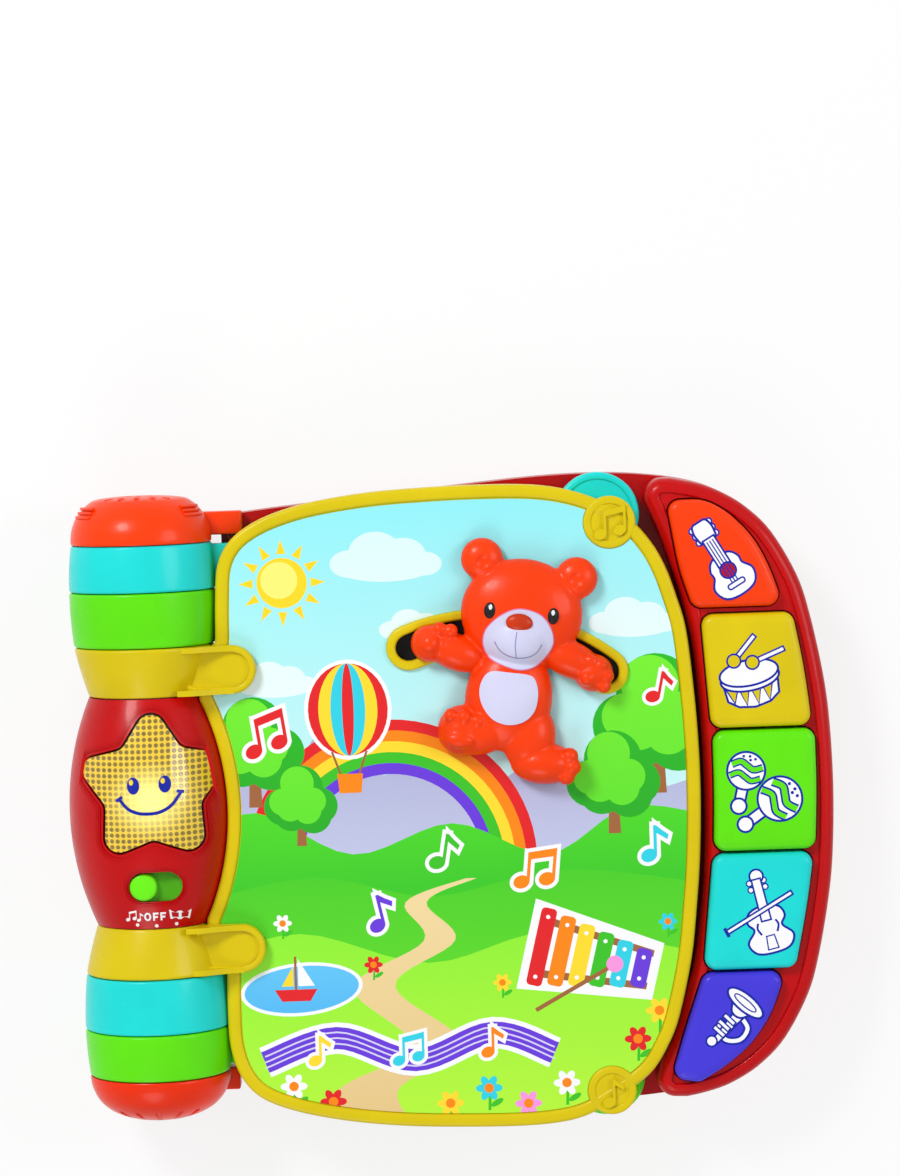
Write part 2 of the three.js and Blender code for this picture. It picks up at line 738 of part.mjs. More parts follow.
function lightBoard() {
  const bottom = spineZ + coreRadius + seatGap;
  const board = block(
    spineX - lightBoardHalfX, spineX + lightBoardHalfX, starY - lightBoardHalfY, starY + lightBoardHalfY,
    bottom, bottom + boardThickness,
  );
  const lampTop = spineZ + middleRadius - lensInset - lampGap;
  return board.add(rod(starX, starY, bottom + boardThickness - 0.2, lampTop, lampRadius));
}

const switchFloor = spineZ + middleAt(switchY) - switchDepth;
const knobX = switchX - switchHalfLength + knobRadius + seatGap;

function knob() {
  const top = spineZ + middleAt(switchY) - 0.4;
  const dome = 1.6;
  return joined(
    rod(knobX, switchY, switchFloor + seatGap, top - dome, knobRadius, 16),
    ellipsoid(knobX, switchY, top - dome, knobRadius - 0.1, knobRadius - 0.1, dome),
  );
}

function switchPlate() {
  const outline = stadium(switchX, switchY, switchHalfLength + 3, switchHalfWidth + 2.2);
  const shape = prism(outline, switchFloor - switchPlateThickness, switchFloor);
  return shape.intersect(turned(middleProfile(spineWall + seatGap)));
}

function battery(y) {
  const z = doorThickness + 0.4 + batteryRadius;
  const cell = new THREE.CylinderGeometry(batteryRadius, batteryRadius, batteryLength - 1.5, 16);
  const tip = new THREE.CylinderGeometry(2.7, 2.7, 2, 10);
  tip.translate(0, batteryLength / 2 - 0.5, 0);
  [cell, tip].forEach((geometry) => {
    geometry.rotateZ(y > batteryY ? Math.PI / 2 : -Math.PI / 2);
    geometry.translate(batteryX, y, z);
  });
  return solid(cell).add(solid(tip));
}

function contact(side) {
  const x = batteryX + side * (batteryLength / 2 + 2);
  const reach = 2 * batteryRadius - 0.5;
  return block(x - 0.4, x + 0.4, batteryY - reach, batteryY + reach, wall + 1, wall + 13);
}

function batteryDoor() {
  const shape = block(batteryX - doorHalfX, batteryX + doorHalfX, batteryY - doorHalfY,
    batteryY + doorHalfY, 0, doorThickness - seatGap / 3);
  return shape.subtract(rod(doorScrewX, batteryY, -1, doorLedge, screwHead + screwGap))
    .subtract(rod(doorScrewX, batteryY, 0, doorThickness + 1, screwShank + screwGap));
}

function keyPad() {
  const bottom = boardHeight + boardThickness;
  let shape = prism(grown(boardOutline, -1), bottom, bottom + padThickness);
  Object.values(keys).forEach(({ middle: [x, y] }) => {
    shape = shape.add(rod(x, y, bottom + 0.5, bottom + padThickness + domeHeight, 5));
  });
  return shape;
}

function key({ outline, middle: [x, y] }) {
  const pad = boardHeight + boardThickness + padThickness + domeHeight;
  const shell = domedPrism(outline, keyFoot, keyTop, keyEdge, 1)
    .subtract(prism(grown(outline, -keyWall), keyFoot - 1, keyTop - keyWall));
  return shell.add(rod(x, y, pad + keyTravel + seatGap, keyTop - keyWall + 0.5, keyStemRadius));
}

const deckMargin = 3;
const deckClearance = 6;

function deckPrint() {
  const deckField = grown(coverOutline, -pageRim);
  return prism(deckField, pageDeckHeight, pageDeckHeight + printThickness)
    .intersect(prism(grown(baseOutline, -deckMargin), 0, 100)).subtract(barrel(deckClearance));
}

add('base_tray', baseTray(), colour.red);
add('base_panel', basePanel(), colour.red);
add('base_print', deckPrint(), colour.grass, inkRoughness);
add('battery_door', batteryDoor(), colour.red);
const doorScrew = screw(doorScrewX, batteryY, 0, trayHeight - 2, doorScrewHeadHeight);
add('door_screw', doorScrew, colour.steel, 0.3, 0.9);
add('battery_upper', battery(batteryY + batteryRadius + 0.4), colour.battery, 0.3, 0.3);
add('battery_lower', battery(batteryY - batteryRadius - 0.4), colour.battery, 0.3, 0.3);
add('contact_left', contact(-1), colour.steel, 0.3, 0.9);
add('contact_right', contact(1), colour.steel, 0.3, 0.9);
const circuitBoard = prism(boardOutline, boardHeight, boardHeight + boardThickness);
add('circuit_board', circuitBoard, colour.board, 0.5);
add('key_pad', keyPad(), colour.rubber, 0.8);
add('spine_front', spineFront(), colour.red);
add('spine_core', core(), colour.grey, 0.5);
add('star_lens', starLens(), colour.lens, 0.2);
add('light_board', lightBoard(), colour.board, 0.5);
add('speaker', speaker(), colour.black, 0.6);
add('switch_plate', switchPlate(), colour.slotGreen, 0.4);
add('top_cap', cap(1), colour.orange);
add('bottom_cap', cap(-1), colour.orangeRed);
screwPlaces.forEach(([x, y], i) => {
  const caseScrew = screw(x, y, screwSink, screwLength, screwHeadHeight);
  add(`case_screw_${i + 1}`, caseScrew, colour.steel, 0.3, 0.9);
});
Object.entries(keys).forEach(([name, one]) => add(name, key(one), one.hue, 0.3));
add('switch_knob', knob(), colour.knob, 0.3);

add('cover_front', coverFront(), colour.yellow);
add('cover_back', coverBack(), colour.yellow);
const track = prism(arcBand(arcFrom, arcTo, slotHalf + 4), coverSeam, coverSeam + 1);
add('slot_track', track, colour.black, 0.6);
add('cover_print', frontPrint(), colour.sky, 0.4);
const coverBackPrint = coverPrint(coverBottom + 0.1, coverBottom + backRecess);
add('cover_back_print', coverBackPrint, colour.cream, inkRoughness);
add('cover_ring_top', coverRing(1), colour.yellow);
add('cover_ring_bottom', coverRing(-1), colour.yellow);
add('teddy', teddy(), colour.orange);
add('teddy_carrier', teddyCarrier(), colour.orange);

const rings = {
  outerTop: [innerHalf, ringsHalf, innerRadius, ringsRadius],
  innerTop: [yellowHalf, innerHalf, yellowRadius, innerRadius],
  innerBottom: [-innerHalf, -yellowHalf, innerRadius, yellowRadius],
  outerBottom: [-ringsHalf, -innerHalf, ringsRadius, innerRadius],
};
const cyanTab = { x: 55.6, y: 100.5, radius: 15 };
const greenTab = { x: 53, y: -104, radius: 14 };
addPage('page_two', colour.cyan, pageTwoBottom, cyanTab, [rings.outerTop, rings.innerBottom]);
addPage('page_three', colour.green, pageThreeBottom, greenTab, [rings.innerTop, rings.outerBottom]);

const extent = new THREE.Box3().setFromObject(book);
book.position.set(0, -(extent.min.y + extent.max.y) / 2, 0);

export default book;
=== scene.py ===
import math

import bmesh
import bpy
from mathutils import Matrix, Vector
from mathutils.bvhtree import BVHTree
from mathutils.geometry import delaunay_2d_cdt


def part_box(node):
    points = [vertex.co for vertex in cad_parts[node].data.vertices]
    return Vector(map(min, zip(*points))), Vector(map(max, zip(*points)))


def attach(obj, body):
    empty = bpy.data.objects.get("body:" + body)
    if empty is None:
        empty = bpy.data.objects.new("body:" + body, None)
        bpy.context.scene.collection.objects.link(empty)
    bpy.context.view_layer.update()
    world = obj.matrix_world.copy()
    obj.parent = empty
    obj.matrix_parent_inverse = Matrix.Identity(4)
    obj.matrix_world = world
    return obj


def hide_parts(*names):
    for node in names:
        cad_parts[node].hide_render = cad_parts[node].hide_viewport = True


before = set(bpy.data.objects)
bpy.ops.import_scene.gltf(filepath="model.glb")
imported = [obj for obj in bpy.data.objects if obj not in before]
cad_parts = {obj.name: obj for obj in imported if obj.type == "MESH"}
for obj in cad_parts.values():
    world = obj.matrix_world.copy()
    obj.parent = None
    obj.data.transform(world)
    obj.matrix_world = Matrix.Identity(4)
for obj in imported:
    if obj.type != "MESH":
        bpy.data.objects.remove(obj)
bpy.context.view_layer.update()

# Everything is drawn in millimetres, with Y counted from the middle of the spine
mm = 0.001
coreLow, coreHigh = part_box("spine_core")
spineX = (coreLow.x + coreHigh.x) / 2 / mm
spineZ = (coreLow.z + coreHigh.z) / 2 / mm
middleY = (coreLow.y + coreHigh.y) / 2

heights = {
    "traySeam": 9, "deck": 17.6, "panel": 36, "keyTop": 40,
    "pageThree": 18.5, "pageTwo": 25.3, "page": 6.4, "pagePanel": 3.6,
    "cover": 32.1, "coverSeam": 34.1, "coverFace": 39.5, "coverTop": 40.4,
}
spine = {
    "middleRadius": 29.2, "middleHalf": 41, "middleEnd": 20.6, "yellowRadius": 25.3, "yellowHalf": 59,
    "innerRadius": 26.4, "innerHalf": 78.7, "ringsRadius": 25.2, "ringsHalf": 95.5,
    "bore": 18.8, "turnGap": 0.6, "ringGap": 0.3, "sides": 128,
}

star = {"x": -105.8, "y": 9.4, "outer": 30.4, "inner": 17.6, "round": 5, "sink": 1, "wall": 2.4, "gap": 0.8}

# Camera, at the photograph's place and lens
photo = {
    "height": 1176, "focal": 4000, "sensor": 36,
    "pitch": 3.319, "yaw": 0.435, "roll": 1.907, "place": (-8.9, 160.2, 1463.5),
}
cameraData = bpy.data.cameras.new("camera")
cameraData.sensor_width = photo["sensor"]
cameraData.lens = photo["focal"] / photo["height"] * photo["sensor"]
cameraData.clip_start = 0.05
cameraData.clip_end = 20
camera = bpy.data.objects.new("camera", cameraData)
bpy.context.collection.objects.link(camera)
bpy.context.scene.camera = camera
turns = [(photo["roll"], "Z"), (photo["pitch"], "X"), (photo["yaw"], "Y")]
towardsCamera = Matrix.Identity(3)
for degrees, axis in turns:
    towardsCamera = towardsCamera @ Matrix.Rotation(math.radians(degrees), 3, axis)
cameraPlace = Matrix.Translation(Vector(photo["place"]) * mm)
camera.matrix_world = cameraPlace @ towardsCamera.transposed().to_4x4()


# Outlines: lists of 2D vectors, anticlockwise

def curveThrough(points, steps=6, closed=True):
    line = []
    count = len(points)
    for i in range(count if closed else count - 1):
        if closed:
            near = [Vector(points[(i + k) % count]) for k in (-1, 0, 1, 2)]
        else:
            near = [Vector(points[min(max(i + k, 0), count - 1)]) for k in (-1, 0, 1, 2)]
        a, b, c, d = near
        for s in range(steps):
            t = s / steps
            line.append(0.5 * (2 * b + (c - a) * t + (2 * a - 5 * b + 4 * c - d) * t * t
                               + (3 * b - a - 3 * c + d) * t ** 3))
    if not closed:
        line.append(Vector(points[-1]))
    return line


def grown(points, distance):
    result = []
    count = len(points)
    for i in range(count):
        before = (Vector(points[i]) - Vector(points[i - 1])).normalized()
        after = (Vector(points[(i + 1) % count]) - Vector(points[i])).normalized()
        share = distance / max(1 + before.dot(after), 0.35)
        result.append(Vector((points[i][0] + (before.y + after.y) * share,
                              points[i][1] - (before.x + after.x) * share)))
    return result


def bend(start, corner, end, steps):
    return [start * (1 - t) ** 2 + corner * 2 * t * (1 - t) + end * t * t
            for t in (s / steps for s in range(steps + 1))]


def cornerArc(before, point, after, radius, steps=8, share=0.48):
    toBefore, toAfter = before - point, after - point
    half = toBefore.angle(toAfter) / 2
    reach = min(radius / math.tan(half), share * min(toBefore.length, toAfter.length))
    middle = point + (toBefore.normalized() + toAfter.normalized()).normalized() * reach / math.cos(half)
    spoke = point + toBefore.normalized() * reach - middle
    turn = math.copysign(math.pi - 2 * half, (-toBefore).cross(toAfter))
    return [middle + Matrix.Rotation(turn * s / steps, 2) @ spoke for s in range(steps + 1)]


def rounded(corners, radius, steps=8, shallow=35):
    # true arcs at the sharp corners, long soft bends at the shallow ones
    points = [Vector(corner) for corner in corners]
    result = []
    for i, point in enumerate(points):
        toBefore = points[i - 1] - point
        toAfter = points[(i + 1) % len(points)] - point
        if 180 - math.degrees(toBefore.angle(toAfter)) < shallow:
            reach = 0.48 * min(toBefore.length, toAfter.length)
            result += bend(point + toBefore.normalized() * reach, point,
                           point + toAfter.normalized() * reach, steps)
        else:
            result += cornerArc(point + toBefore, point, point + toAfter, radius, steps)
    return cleaned(result)


def cleaned(points, least=0.12):
    # drops points that lie almost on the one before
    result = []
    for point in points:
        if not result or (point - result[-1]).length > least:
            result.append(point)
    if (result[0] - result[-1]).length < least:
        result.pop()
    return result


def ellipse(x, y, halfX, halfY=None, turn=0, count=36):
    halfY = halfX if halfY is None else halfY
    cosine, sine = math.cos(math.radians(turn)), math.sin(math.radians(turn))
    result = []
    for i in range(count):
        a = 2 * math.pi * i / count
        u, v = halfX * math.cos(a), halfY * math.sin(a)
        result.append(Vector((x + u * cosine - v * sine, y + u * sine + v * cosine)))
    return result


def stadium(x, y, halfLength, halfWidth, count=40):
    reach = halfLength - halfWidth
    return [Vector((p.x + math.copysign(reach, p.x) + x, p.y + y))
            for p in ellipse(0, 0, halfWidth, count=count)]


def arcBand(centre, radius, start, end, halfWidth, steps=32):
    # a band along an arc, degrees counted clockwise from +Y, with round ends
    def at(degrees, r):
        a = math.radians(degrees)
        return Vector((centre[0] + r * math.sin(a), centre[1] + r * math.cos(a)))

    def roundEnd(degrees, side):
        middle = at(degrees, radius)
        return [middle + halfWidth * Vector((math.cos(a), math.sin(a)))
                for a in (math.radians(90 - degrees + side + bend) for bend in range(-75, 76, 15))]

    outer = [at(end + (start - end) * i / steps, radius + halfWidth) for i in range(steps + 1)]
    inner = [at(start + (end - start) * i / steps, radius - halfWidth) for i in range(steps + 1)]
    return outer + roundEnd(start, 90) + inner + roundEnd(end, -90)


def stroke(points, width, steps=6, smooth=True):
    # a band of one width along a line, with blunt ends
    line = curveThrough(points, steps, closed=False) if smooth else [Vector(p) for p in points]
    left, right = [], []
    for i, point in enumerate(line):
        ahead = (line[min(i + 1, len(line) - 1)] - line[max(i - 1, 0)]).normalized()
        side = Vector((-ahead.y, ahead.x)) * width / 2
        left.append(point + side)
        right.append(point - side)
    return right + left[::-1]


def placed(points, x, y, turn=0, size=1):
    cosine, sine = math.cos(math.radians(turn)) * size, math.sin(math.radians(turn)) * size
    return [Vector((x + p[0] * cosine - p[1] * sine, y + p[0] * sine + p[1] * cosine)) for p in points]


def middleRadiusAt(y):
    sag = spine["middleRadius"] - spine["middleEnd"]
    bow = (spine["middleHalf"] ** 2 + sag ** 2) / (2 * sag)
    return spine["middleRadius"] - bow + math.sqrt(bow ** 2 - y ** 2)


def barrelLine(half, inset=0, steps=20):
    # (radius, Y) along the bowed middle
    return [(middleRadiusAt(y) - inset, y) for y in (half * (i / steps - 1) for i in range(2 * steps + 1))]


def spineRadiusAt(y):
    y = abs(y)
    if y <= spine["middleHalf"]:
        return middleRadiusAt(y)
    cones = [(spine["middleHalf"], spine["middleEnd"]), (spine["yellowHalf"], spine["yellowRadius"]),
             (spine["innerHalf"], spine["innerRadius"])]
    for (start, radius0), (end, radius1) in zip(cones, cones[1:]):
        if y <= end:
            return radius0 + (y - start) / (end - start) * (radius1 - radius0)
    return spine["innerRadius"]


# Solids, as bmesh shapes in millimetres

def edgeRound(radius, segments=5):
    steps = [math.pi / 2 * i / segments for i in range(segments + 1)]
    return [(radius * (math.cos(a) - math.cos(b)), radius * (math.sin(b) - math.sin(a)))
            for a, b in zip(steps, steps[1:])]


def edgeFall(radius, segments=4):
    return [(rise, -inset) for inset, rise in edgeRound(radius, segments)]


def faceFrom(bm, points, z):
    face = bm.faces.new([bm.verts.new((p[0], p[1], z)) for p in points])
    face.normal_update()
    if face.normal.z < 0:
        face.normal_flip()
    return face


def liftFaces(bm, faces, rise):
    made = bmesh.ops.extrude_face_region(bm, geom=faces)["geom"]
    verts = [v for v in made if isinstance(v, bmesh.types.BMVert)]
    bmesh.ops.translate(bm, vec=(0, 0, rise), verts=verts)
    return [f for f in made if isinstance(f, bmesh.types.BMFace)]


def raisedPlate(points, bottom, steps):
    # a plate that rises from its outline by (inset, rise) steps
    bm = bmesh.new()
    faces = [faceFrom(bm, points, bottom)]
    for inset, rise in steps:
        if inset < 1e-6:
            faces = liftFaces(bm, faces, rise)
        else:
            bmesh.ops.inset_region(bm, faces=faces, thickness=inset, depth=0,
                                   use_boundary=True, use_even_offset=True)
            bmesh.ops.translate(bm, vec=(0, 0, rise), verts=list({v for f in faces for v in f.verts}))
    return bm


def rimBand(points, width, bottom, top, bevel=0, segments=4):
    # a closed band inside an outline, its top edges rounded
    bm = bmesh.new()
    inner = faceFrom(bm, points, bottom)
    ring = bmesh.ops.inset_region(bm, faces=[inner], thickness=width, depth=0,
                                  use_boundary=True, use_even_offset=True)["faces"]
    bmesh.ops.delete(bm, geom=[inner], context="FACES")
    liftFaces(bm, ring, top - bottom)
    if bevel:
        bm.normal_update()
        edges = [e for e in bm.edges
                 if all(abs(v.co.z - top) < 1e-3 for v in e.verts)
                 and any(abs(f.normal.z) < 0.5 for f in e.link_faces)]
        bmesh.ops.bevel(bm, geom=edges, offset=bevel, segments=segments, profile=0.5,
                        affect="EDGES", material=-1, clamp_overlap=True)
    return bm


def prism(points, bottom, top, bottomBevel=0, segments=4):
    bm = raisedPlate(points, bottom, [(0, top - bottom)])
    if bottomBevel:
        bm.normal_update()
        edges = [e for e in bm.edges if all(abs(v.co.z - bottom) < 1e-3 for v in e.verts)]
        bmesh.ops.bevel(bm, geom=edges, offset=bottomBevel, segments=segments, profile=0.5,
                        affect="EDGES", material=-1, clamp_overlap=True)
    return bm


def block(x0, x1, y0, y1, z0, z1, bevel=0, segments=3):
    bm = bmesh.new()
    bmesh.ops.create_cube(bm, size=1)
    bmesh.ops.scale(bm, vec=(x1 - x0, y1 - y0, z1 - z0), verts=bm.verts)
    bmesh.ops.translate(bm, vec=((x0 + x1) / 2, (y0 + y1) / 2, (z0 + z1) / 2), verts=bm.verts)
    if bevel:
        bmesh.ops.bevel(bm, geom=bm.edges[:], offset=bevel, segments=segments, profile=0.5,
                        affect="EDGES", material=-1, clamp_overlap=True)
    return bm


def rod(x, y, z0, z1, radius, sides=32, bevel=0):
    return raisedPlate(ellipse(x, y, radius, count=sides), z0,
                       [(0, z1 - z0 - bevel)] + (edgeRound(bevel, 3) if bevel else []))


def ball(x, y, z, halfX, halfY, halfZ, turn=0, rings=20):
    bm = bmesh.new()
    bmesh.ops.create_uvsphere(bm, u_segments=rings * 2, v_segments=rings, radius=1)
    bmesh.ops.scale(bm, vec=(halfX, halfY, halfZ), verts=bm.verts)
    bmesh.ops.rotate(bm, cent=(0, 0, 0), matrix=Matrix.Rotation(math.radians(turn), 3, "Z"), verts=bm.verts)
    bmesh.ops.translate(bm, vec=(x, y, z), verts=bm.verts)
    return bm


def turned(profile, closed=False, sides=None, start=0, sweep=360):
    # spun about the spine: a profile of (radius, distance along Y); start 0 looks up
    bm = bmesh.new()
    verts = [bm.verts.new((spineX, y, spineZ + radius)) for radius, y in profile]
    pairs = list(zip(verts, verts[1:])) + ([(verts[-1], verts[0])] if closed else [])
    edges = [bm.edges.new(pair) for pair in pairs]
    centre = (spineX, 0, spineZ)
    bmesh.ops.rotate(bm, cent=centre, matrix=Matrix.Rotation(math.radians(start), 3, "Y"), verts=bm.verts)
    whole = sweep == 360
    bmesh.ops.spin(bm, geom=verts + edges, cent=centre, axis=(0, 1, 0), angle=math.radians(sweep),
                   steps=sides or spine["sides"], use_merge=whole, use_duplicate=False)
    bmesh.ops.remove_doubles(bm, verts=bm.verts, dist=0.001)
    if not whole:
        bmesh.ops.holes_fill(bm, edges=[e for e in bm.edges if e.is_boundary], sides=0)
    bmesh.ops.recalc_face_normals(bm, faces=bm.faces)
    return bm


def mirrored(bm):
    bmesh.ops.scale(bm, vec=(1, -1, 1), verts=bm.verts)
    bmesh.ops.recalc_face_normals(bm, faces=bm.faces)
    return bm


def workObject(bm):
    mesh = bpy.data.meshes.new("work")
    bmesh.ops.recalc_face_normals(bm, faces=bm.faces)
    bm.to_mesh(mesh)
    bm.free()
    obj = bpy.data.objects.new("work", mesh)
    bpy.context.collection.objects.link(obj)
    return obj


def applied(obj):
    graph = bpy.context.evaluated_depsgraph_get()
    mesh = bpy.data.meshes.new_from_object(obj.evaluated_get(graph))
    bm = bmesh.new()
    bm.from_mesh(mesh)
    bpy.data.meshes.remove(mesh)
    return bm


def combined(bm, *others, operation="DIFFERENCE"):
    body = workObject(bm)
    tools = [workObject(other) for other in others]
    for tool in tools:
        modifier = body.modifiers.new("combine", "BOOLEAN")
        modifier.operation = operation
        modifier.solver = "MANIFOLD"
        modifier.object = tool
    result = applied(body)
    for obj in [body] + tools:
        mesh = obj.data
        bpy.data.objects.remove(obj)
        bpy.data.meshes.remove(mesh)
    return result


def gather(parts):
    # parts: (bmesh, material number) pairs, put side by side in one bmesh
    whole = bmesh.new()
    for bm, number in parts:
        bmesh.ops.remove_doubles(bm, verts=bm.verts, dist=0.002)
        bmesh.ops.recalc_face_normals(bm, faces=bm.faces)
        if number is not None:
            for face in bm.faces:
                face.material_index = number
        mesh = bpy.data.meshes.new("part")
        bm.to_mesh(mesh)
        bm.free()
        whole.from_mesh(mesh)
        bpy.data.meshes.remove(mesh)
    return whole


def addPiece(name, parts, paintNames, body, nodes=(), pictureInks=(), angle=32):
    # parts: bmeshes in the first paint, or (bmesh, material number) pairs
    bm = gather([part if isinstance(part, tuple) else (part, 0) for part in parts])
    bmesh.ops.scale(bm, vec=(mm, mm, mm), verts=bm.verts)
    bmesh.ops.translate(bm, vec=(0, middleY, 0), verts=bm.verts)
    mesh = bpy.data.meshes.new(name)
    bm.to_mesh(mesh)
    bm.free()
    for polygon in mesh.polygons:
        polygon.use_smooth = len(polygon.vertices) < 8
    mesh.set_sharp_from_angle(angle=math.radians(angle))
    for material in [paints[paintName] for paintName in paintNames] + list(pictureInks):
        mesh.materials.append(material)
    piece = bpy.data.objects.new(name, mesh)
    bpy.context.collection.objects.link(piece)
    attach(piece, body)
    if nodes:
        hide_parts(*nodes)
    return piece


def anticlockwise(points):
    doubled = sum(a[0] * b[1] - b[0] * a[1] for a, b in zip(points, points[1:] + points[:1]))
    return points if doubled > 0 else points[::-1]


def picture(shapes, bottom, top, field=None, holes=(), first=0):
    # flat shapes over one another, each spot with the topmost one's ink; field is (outline, ink)
    drawn = ([field] if field else []) + list(shapes)
    inkNames = sorted({inkName for outline, inkName in drawn})
    points, faces = [], []
    for outline in [anticlockwise(list(outline)) for outline, inkName in drawn] + [
            anticlockwise(list(hole)) for hole in holes]:
        faces.append(list(range(len(points), len(points) + len(outline))))
        points += [Vector((p[0], p[1])) for p in outline]
    cut = delaunay_2d_cdt(points, [], faces, 1, 1e-4, True)
    bm = bmesh.new()
    verts = [bm.verts.new((p.x, p.y, bottom)) for p in cut[0]]
    for corners, origins in zip(cut[2], cut[5]):
        if origins and max(origins) < len(drawn) and (0 in origins or not field):
            face = bm.faces.new([verts[i] for i in corners])
            face.material_index = first + inkNames.index(drawn[max(origins)][1])
    bmesh.ops.delete(bm, geom=[v for v in bm.verts if not v.link_faces], context="VERTS")
    liftFaces(bm, bm.faces[:], top - bottom)
    return bm, [inks[inkName] for inkName in inkNames]


def draped(bm, target, lift, sink=0.4):
    # lays a flat plate on the surface below it
    ground = BVHTree.FromBMesh(target)
    middle = sum(v.co.z for v in bm.verts) / len(bm.verts)
    for vert in bm.verts:
        hit = ground.ray_cast(Vector((vert.co.x, vert.co.y, 200)), Vector((0, 0, -1)))[0]
        vert.co.z = hit.z + (lift if vert.co.z > middle else -sink)
    return bm


# Materials

def linear(red, green, blue):
    def channel(value):
        value /= 255
        return value / 12.92 if value <= 0.04045 else ((value + 0.055) / 1.055) ** 2.4
    return (channel(red), channel(green), channel(blue), 1)


def addNode(tree, kind, inputs=None, **settings):
    node = tree.nodes.new("ShaderNode" + kind)
    for label, value in settings.items():
        setattr(node, label, value)
    for label, value in (inputs or {}).items():
        if isinstance(value, bpy.types.NodeSocket):
            tree.links.new(value, node.inputs[label])
        else:
            node.inputs[label].default_value = value
    return node


def objectPlace(tree):
    return addNode(tree, "TexCoord").outputs["Object"]


def noise(tree, place, scale, detail, **inputs):
    node = addNode(tree, "TexNoise", {"Vector": place, "Scale": scale, "Detail": detail, **inputs})
    return node.outputs["Fac"]


def calculated(tree, operation, *values, clamped=False):
    return addNode(tree, "Math", dict(enumerate(values)), operation=operation, use_clamp=clamped).outputs[0]


def ranged(tree, value, low, high, newLow=0.0, newHigh=1.0, kind="LINEAR"):
    return addNode(tree, "MapRange", {"Value": value, "From Min": low, "From Max": high, "To Min": newLow,
                                      "To Max": newHigh}, interpolation_type=kind).outputs[0]


def mixedColour(tree, factor, low, high):
    return addNode(tree, "Mix", {"Factor": factor, 6: low, 7: high}, data_type="RGBA").outputs[2]


def vectorResult(tree, operation, first, second=None):
    node = addNode(tree, "VectorMath", {0: first}, operation=operation)
    if isinstance(second, tuple):
        node.inputs[1].default_value = second
    elif second:
        tree.links.new(second, node.inputs["Scale"])
    return node.outputs["Value" if operation == "LENGTH" else "Vector"]


def bumped(tree, height, strength, distance, **settings):
    return addNode(tree, "Bump", {"Height": height, "Strength": strength, "Distance": distance},
                   **settings).outputs["Normal"]


def newGroup(name, inputs):
    group = bpy.data.node_groups.new(name, "ShaderNodeTree")
    kinds = {tuple: "NodeSocketColor", float: "NodeSocketFloat"}
    for label, value in inputs.items():
        socket = group.interface.new_socket(name=label, in_out="INPUT", socket_type=kinds[type(value)])
        socket.default_value = value
    for label, kind in (("Colour", "Color"), ("Roughness", "Float"), ("Normal", "Vector")):
        group.interface.new_socket(name=label, in_out="OUTPUT", socket_type="NodeSocket" + kind)
    return group, group.nodes.new("NodeGroupInput").outputs


def putOut(group, colour, roughness, normal):
    out = group.nodes.new("NodeGroupOutput")
    for label, value in (("Colour", colour), ("Roughness", roughness), ("Normal", normal)):
        group.links.new(value, out.inputs[label])
    return group


def makeMouldedGroup():
    # injection-moulded plastic: slow flow marks, handling gloss and a fine tool grain
    group, given = newGroup("mouldedPlastic", {"Colour": (0.8, 0.8, 0.8, 1), "Mottle": 0.06, "Roughness": 0.3,
                                               "Rub": 0.1, "Grain": 0.05})
    place = objectPlace(group)
    flow = ranged(group, noise(group, place, 34, 3, Distortion=0.6), 0.3, 0.7, -1, 1)
    level = calculated(group, "MULTIPLY_ADD", flow, given["Mottle"], 1.0)
    rub = ranged(group, noise(group, place, 130, 5, Roughness=0.6), 0.35, 0.7)
    roughness = calculated(group, "MULTIPLY_ADD", rub, given["Rub"], given["Roughness"])
    height = calculated(group, "MULTIPLY_ADD", noise(group, place, 55, 1), 6.0, noise(group, place, 2600, 2))
    return putOut(group, vectorResult(group, "SCALE", given["Colour"], level), roughness,
                  bumped(group, height, given["Grain"], 0.0004))


def makeInkGroup():
    # printed film: a colour that runs from a field's lower edge to its upper edge, with fine print dots
    white = (1, 1, 1, 1)
    group, given = newGroup("printedFilm", {"Upper": white, "Lower": white, "Top": 0.1, "Bottom": -0.1})
    place = objectPlace(group)
    height = addNode(group, "SeparateXYZ", {"Vector": place}).outputs["Y"]
    drift = noise(group, place, 40, 2)
    along = ranged(group, height, given["Bottom"], given["Top"])
    colour = mixedColour(group, along, given["Lower"], given["Upper"])
    dots = addNode(group, "TexVoronoi", {"Vector": place, "Scale": 2300, "Randomness": 0.15})
    tone = ranged(group, dots.outputs["Distance"], 0.1, 0.6, 1.025, 0.97)
    return putOut(group, vectorResult(group, "SCALE", colour, tone), ranged(group, drift, 0, 1, 0.34, 0.5),
                  bumped(group, drift, 0.12, 0.0008))


mouldedGroup = makeMouldedGroup()
inkGroup = makeInkGroup()


def newMaterial(name, viewColour, values, group=None, groupValues=None):
    material = bpy.data.materials.new(name)
    material.use_nodes = True
    material.diffuse_color = viewColour
    tree = material.node_tree
    shader = tree.nodes["Principled BSDF"]
    for label, value in values.items():
        shader.inputs[label].default_value = value
    if group:
        surface = addNode(tree, "Group", groupValues, node_tree=group)
        for label, socket in (("Colour", "Base Color"), ("Roughness", "Roughness"), ("Normal", "Normal")):
            tree.links.new(surface.outputs[label], shader.inputs[socket])
    return material


def plastic(name, colour, roughness=0.27, mottle=0.05, coat=0.09, metallic=0):
    colour = linear(*colour)
    values = {"Coat Weight": coat, "Coat Roughness": 0.1, "Specular IOR Level": 0.15, "Metallic": metallic}
    wear = {"Colour": colour, "Mottle": mottle, "Roughness": roughness, "Rub": 0.12, "Grain": 0.06}
    return newMaterial(name, colour, values, mouldedGroup, wear)


def ink(name, upper, lower=None, top=110, bottom=-115):
    run = {"Upper": linear(*upper), "Lower": linear(*(lower or upper)),
           "Top": top * mm + middleY, "Bottom": bottom * mm + middleY}
    return newMaterial(name, linear(*upper), {"Coat Weight": 0.05, "Specular IOR Level": 0.18}, inkGroup, run)


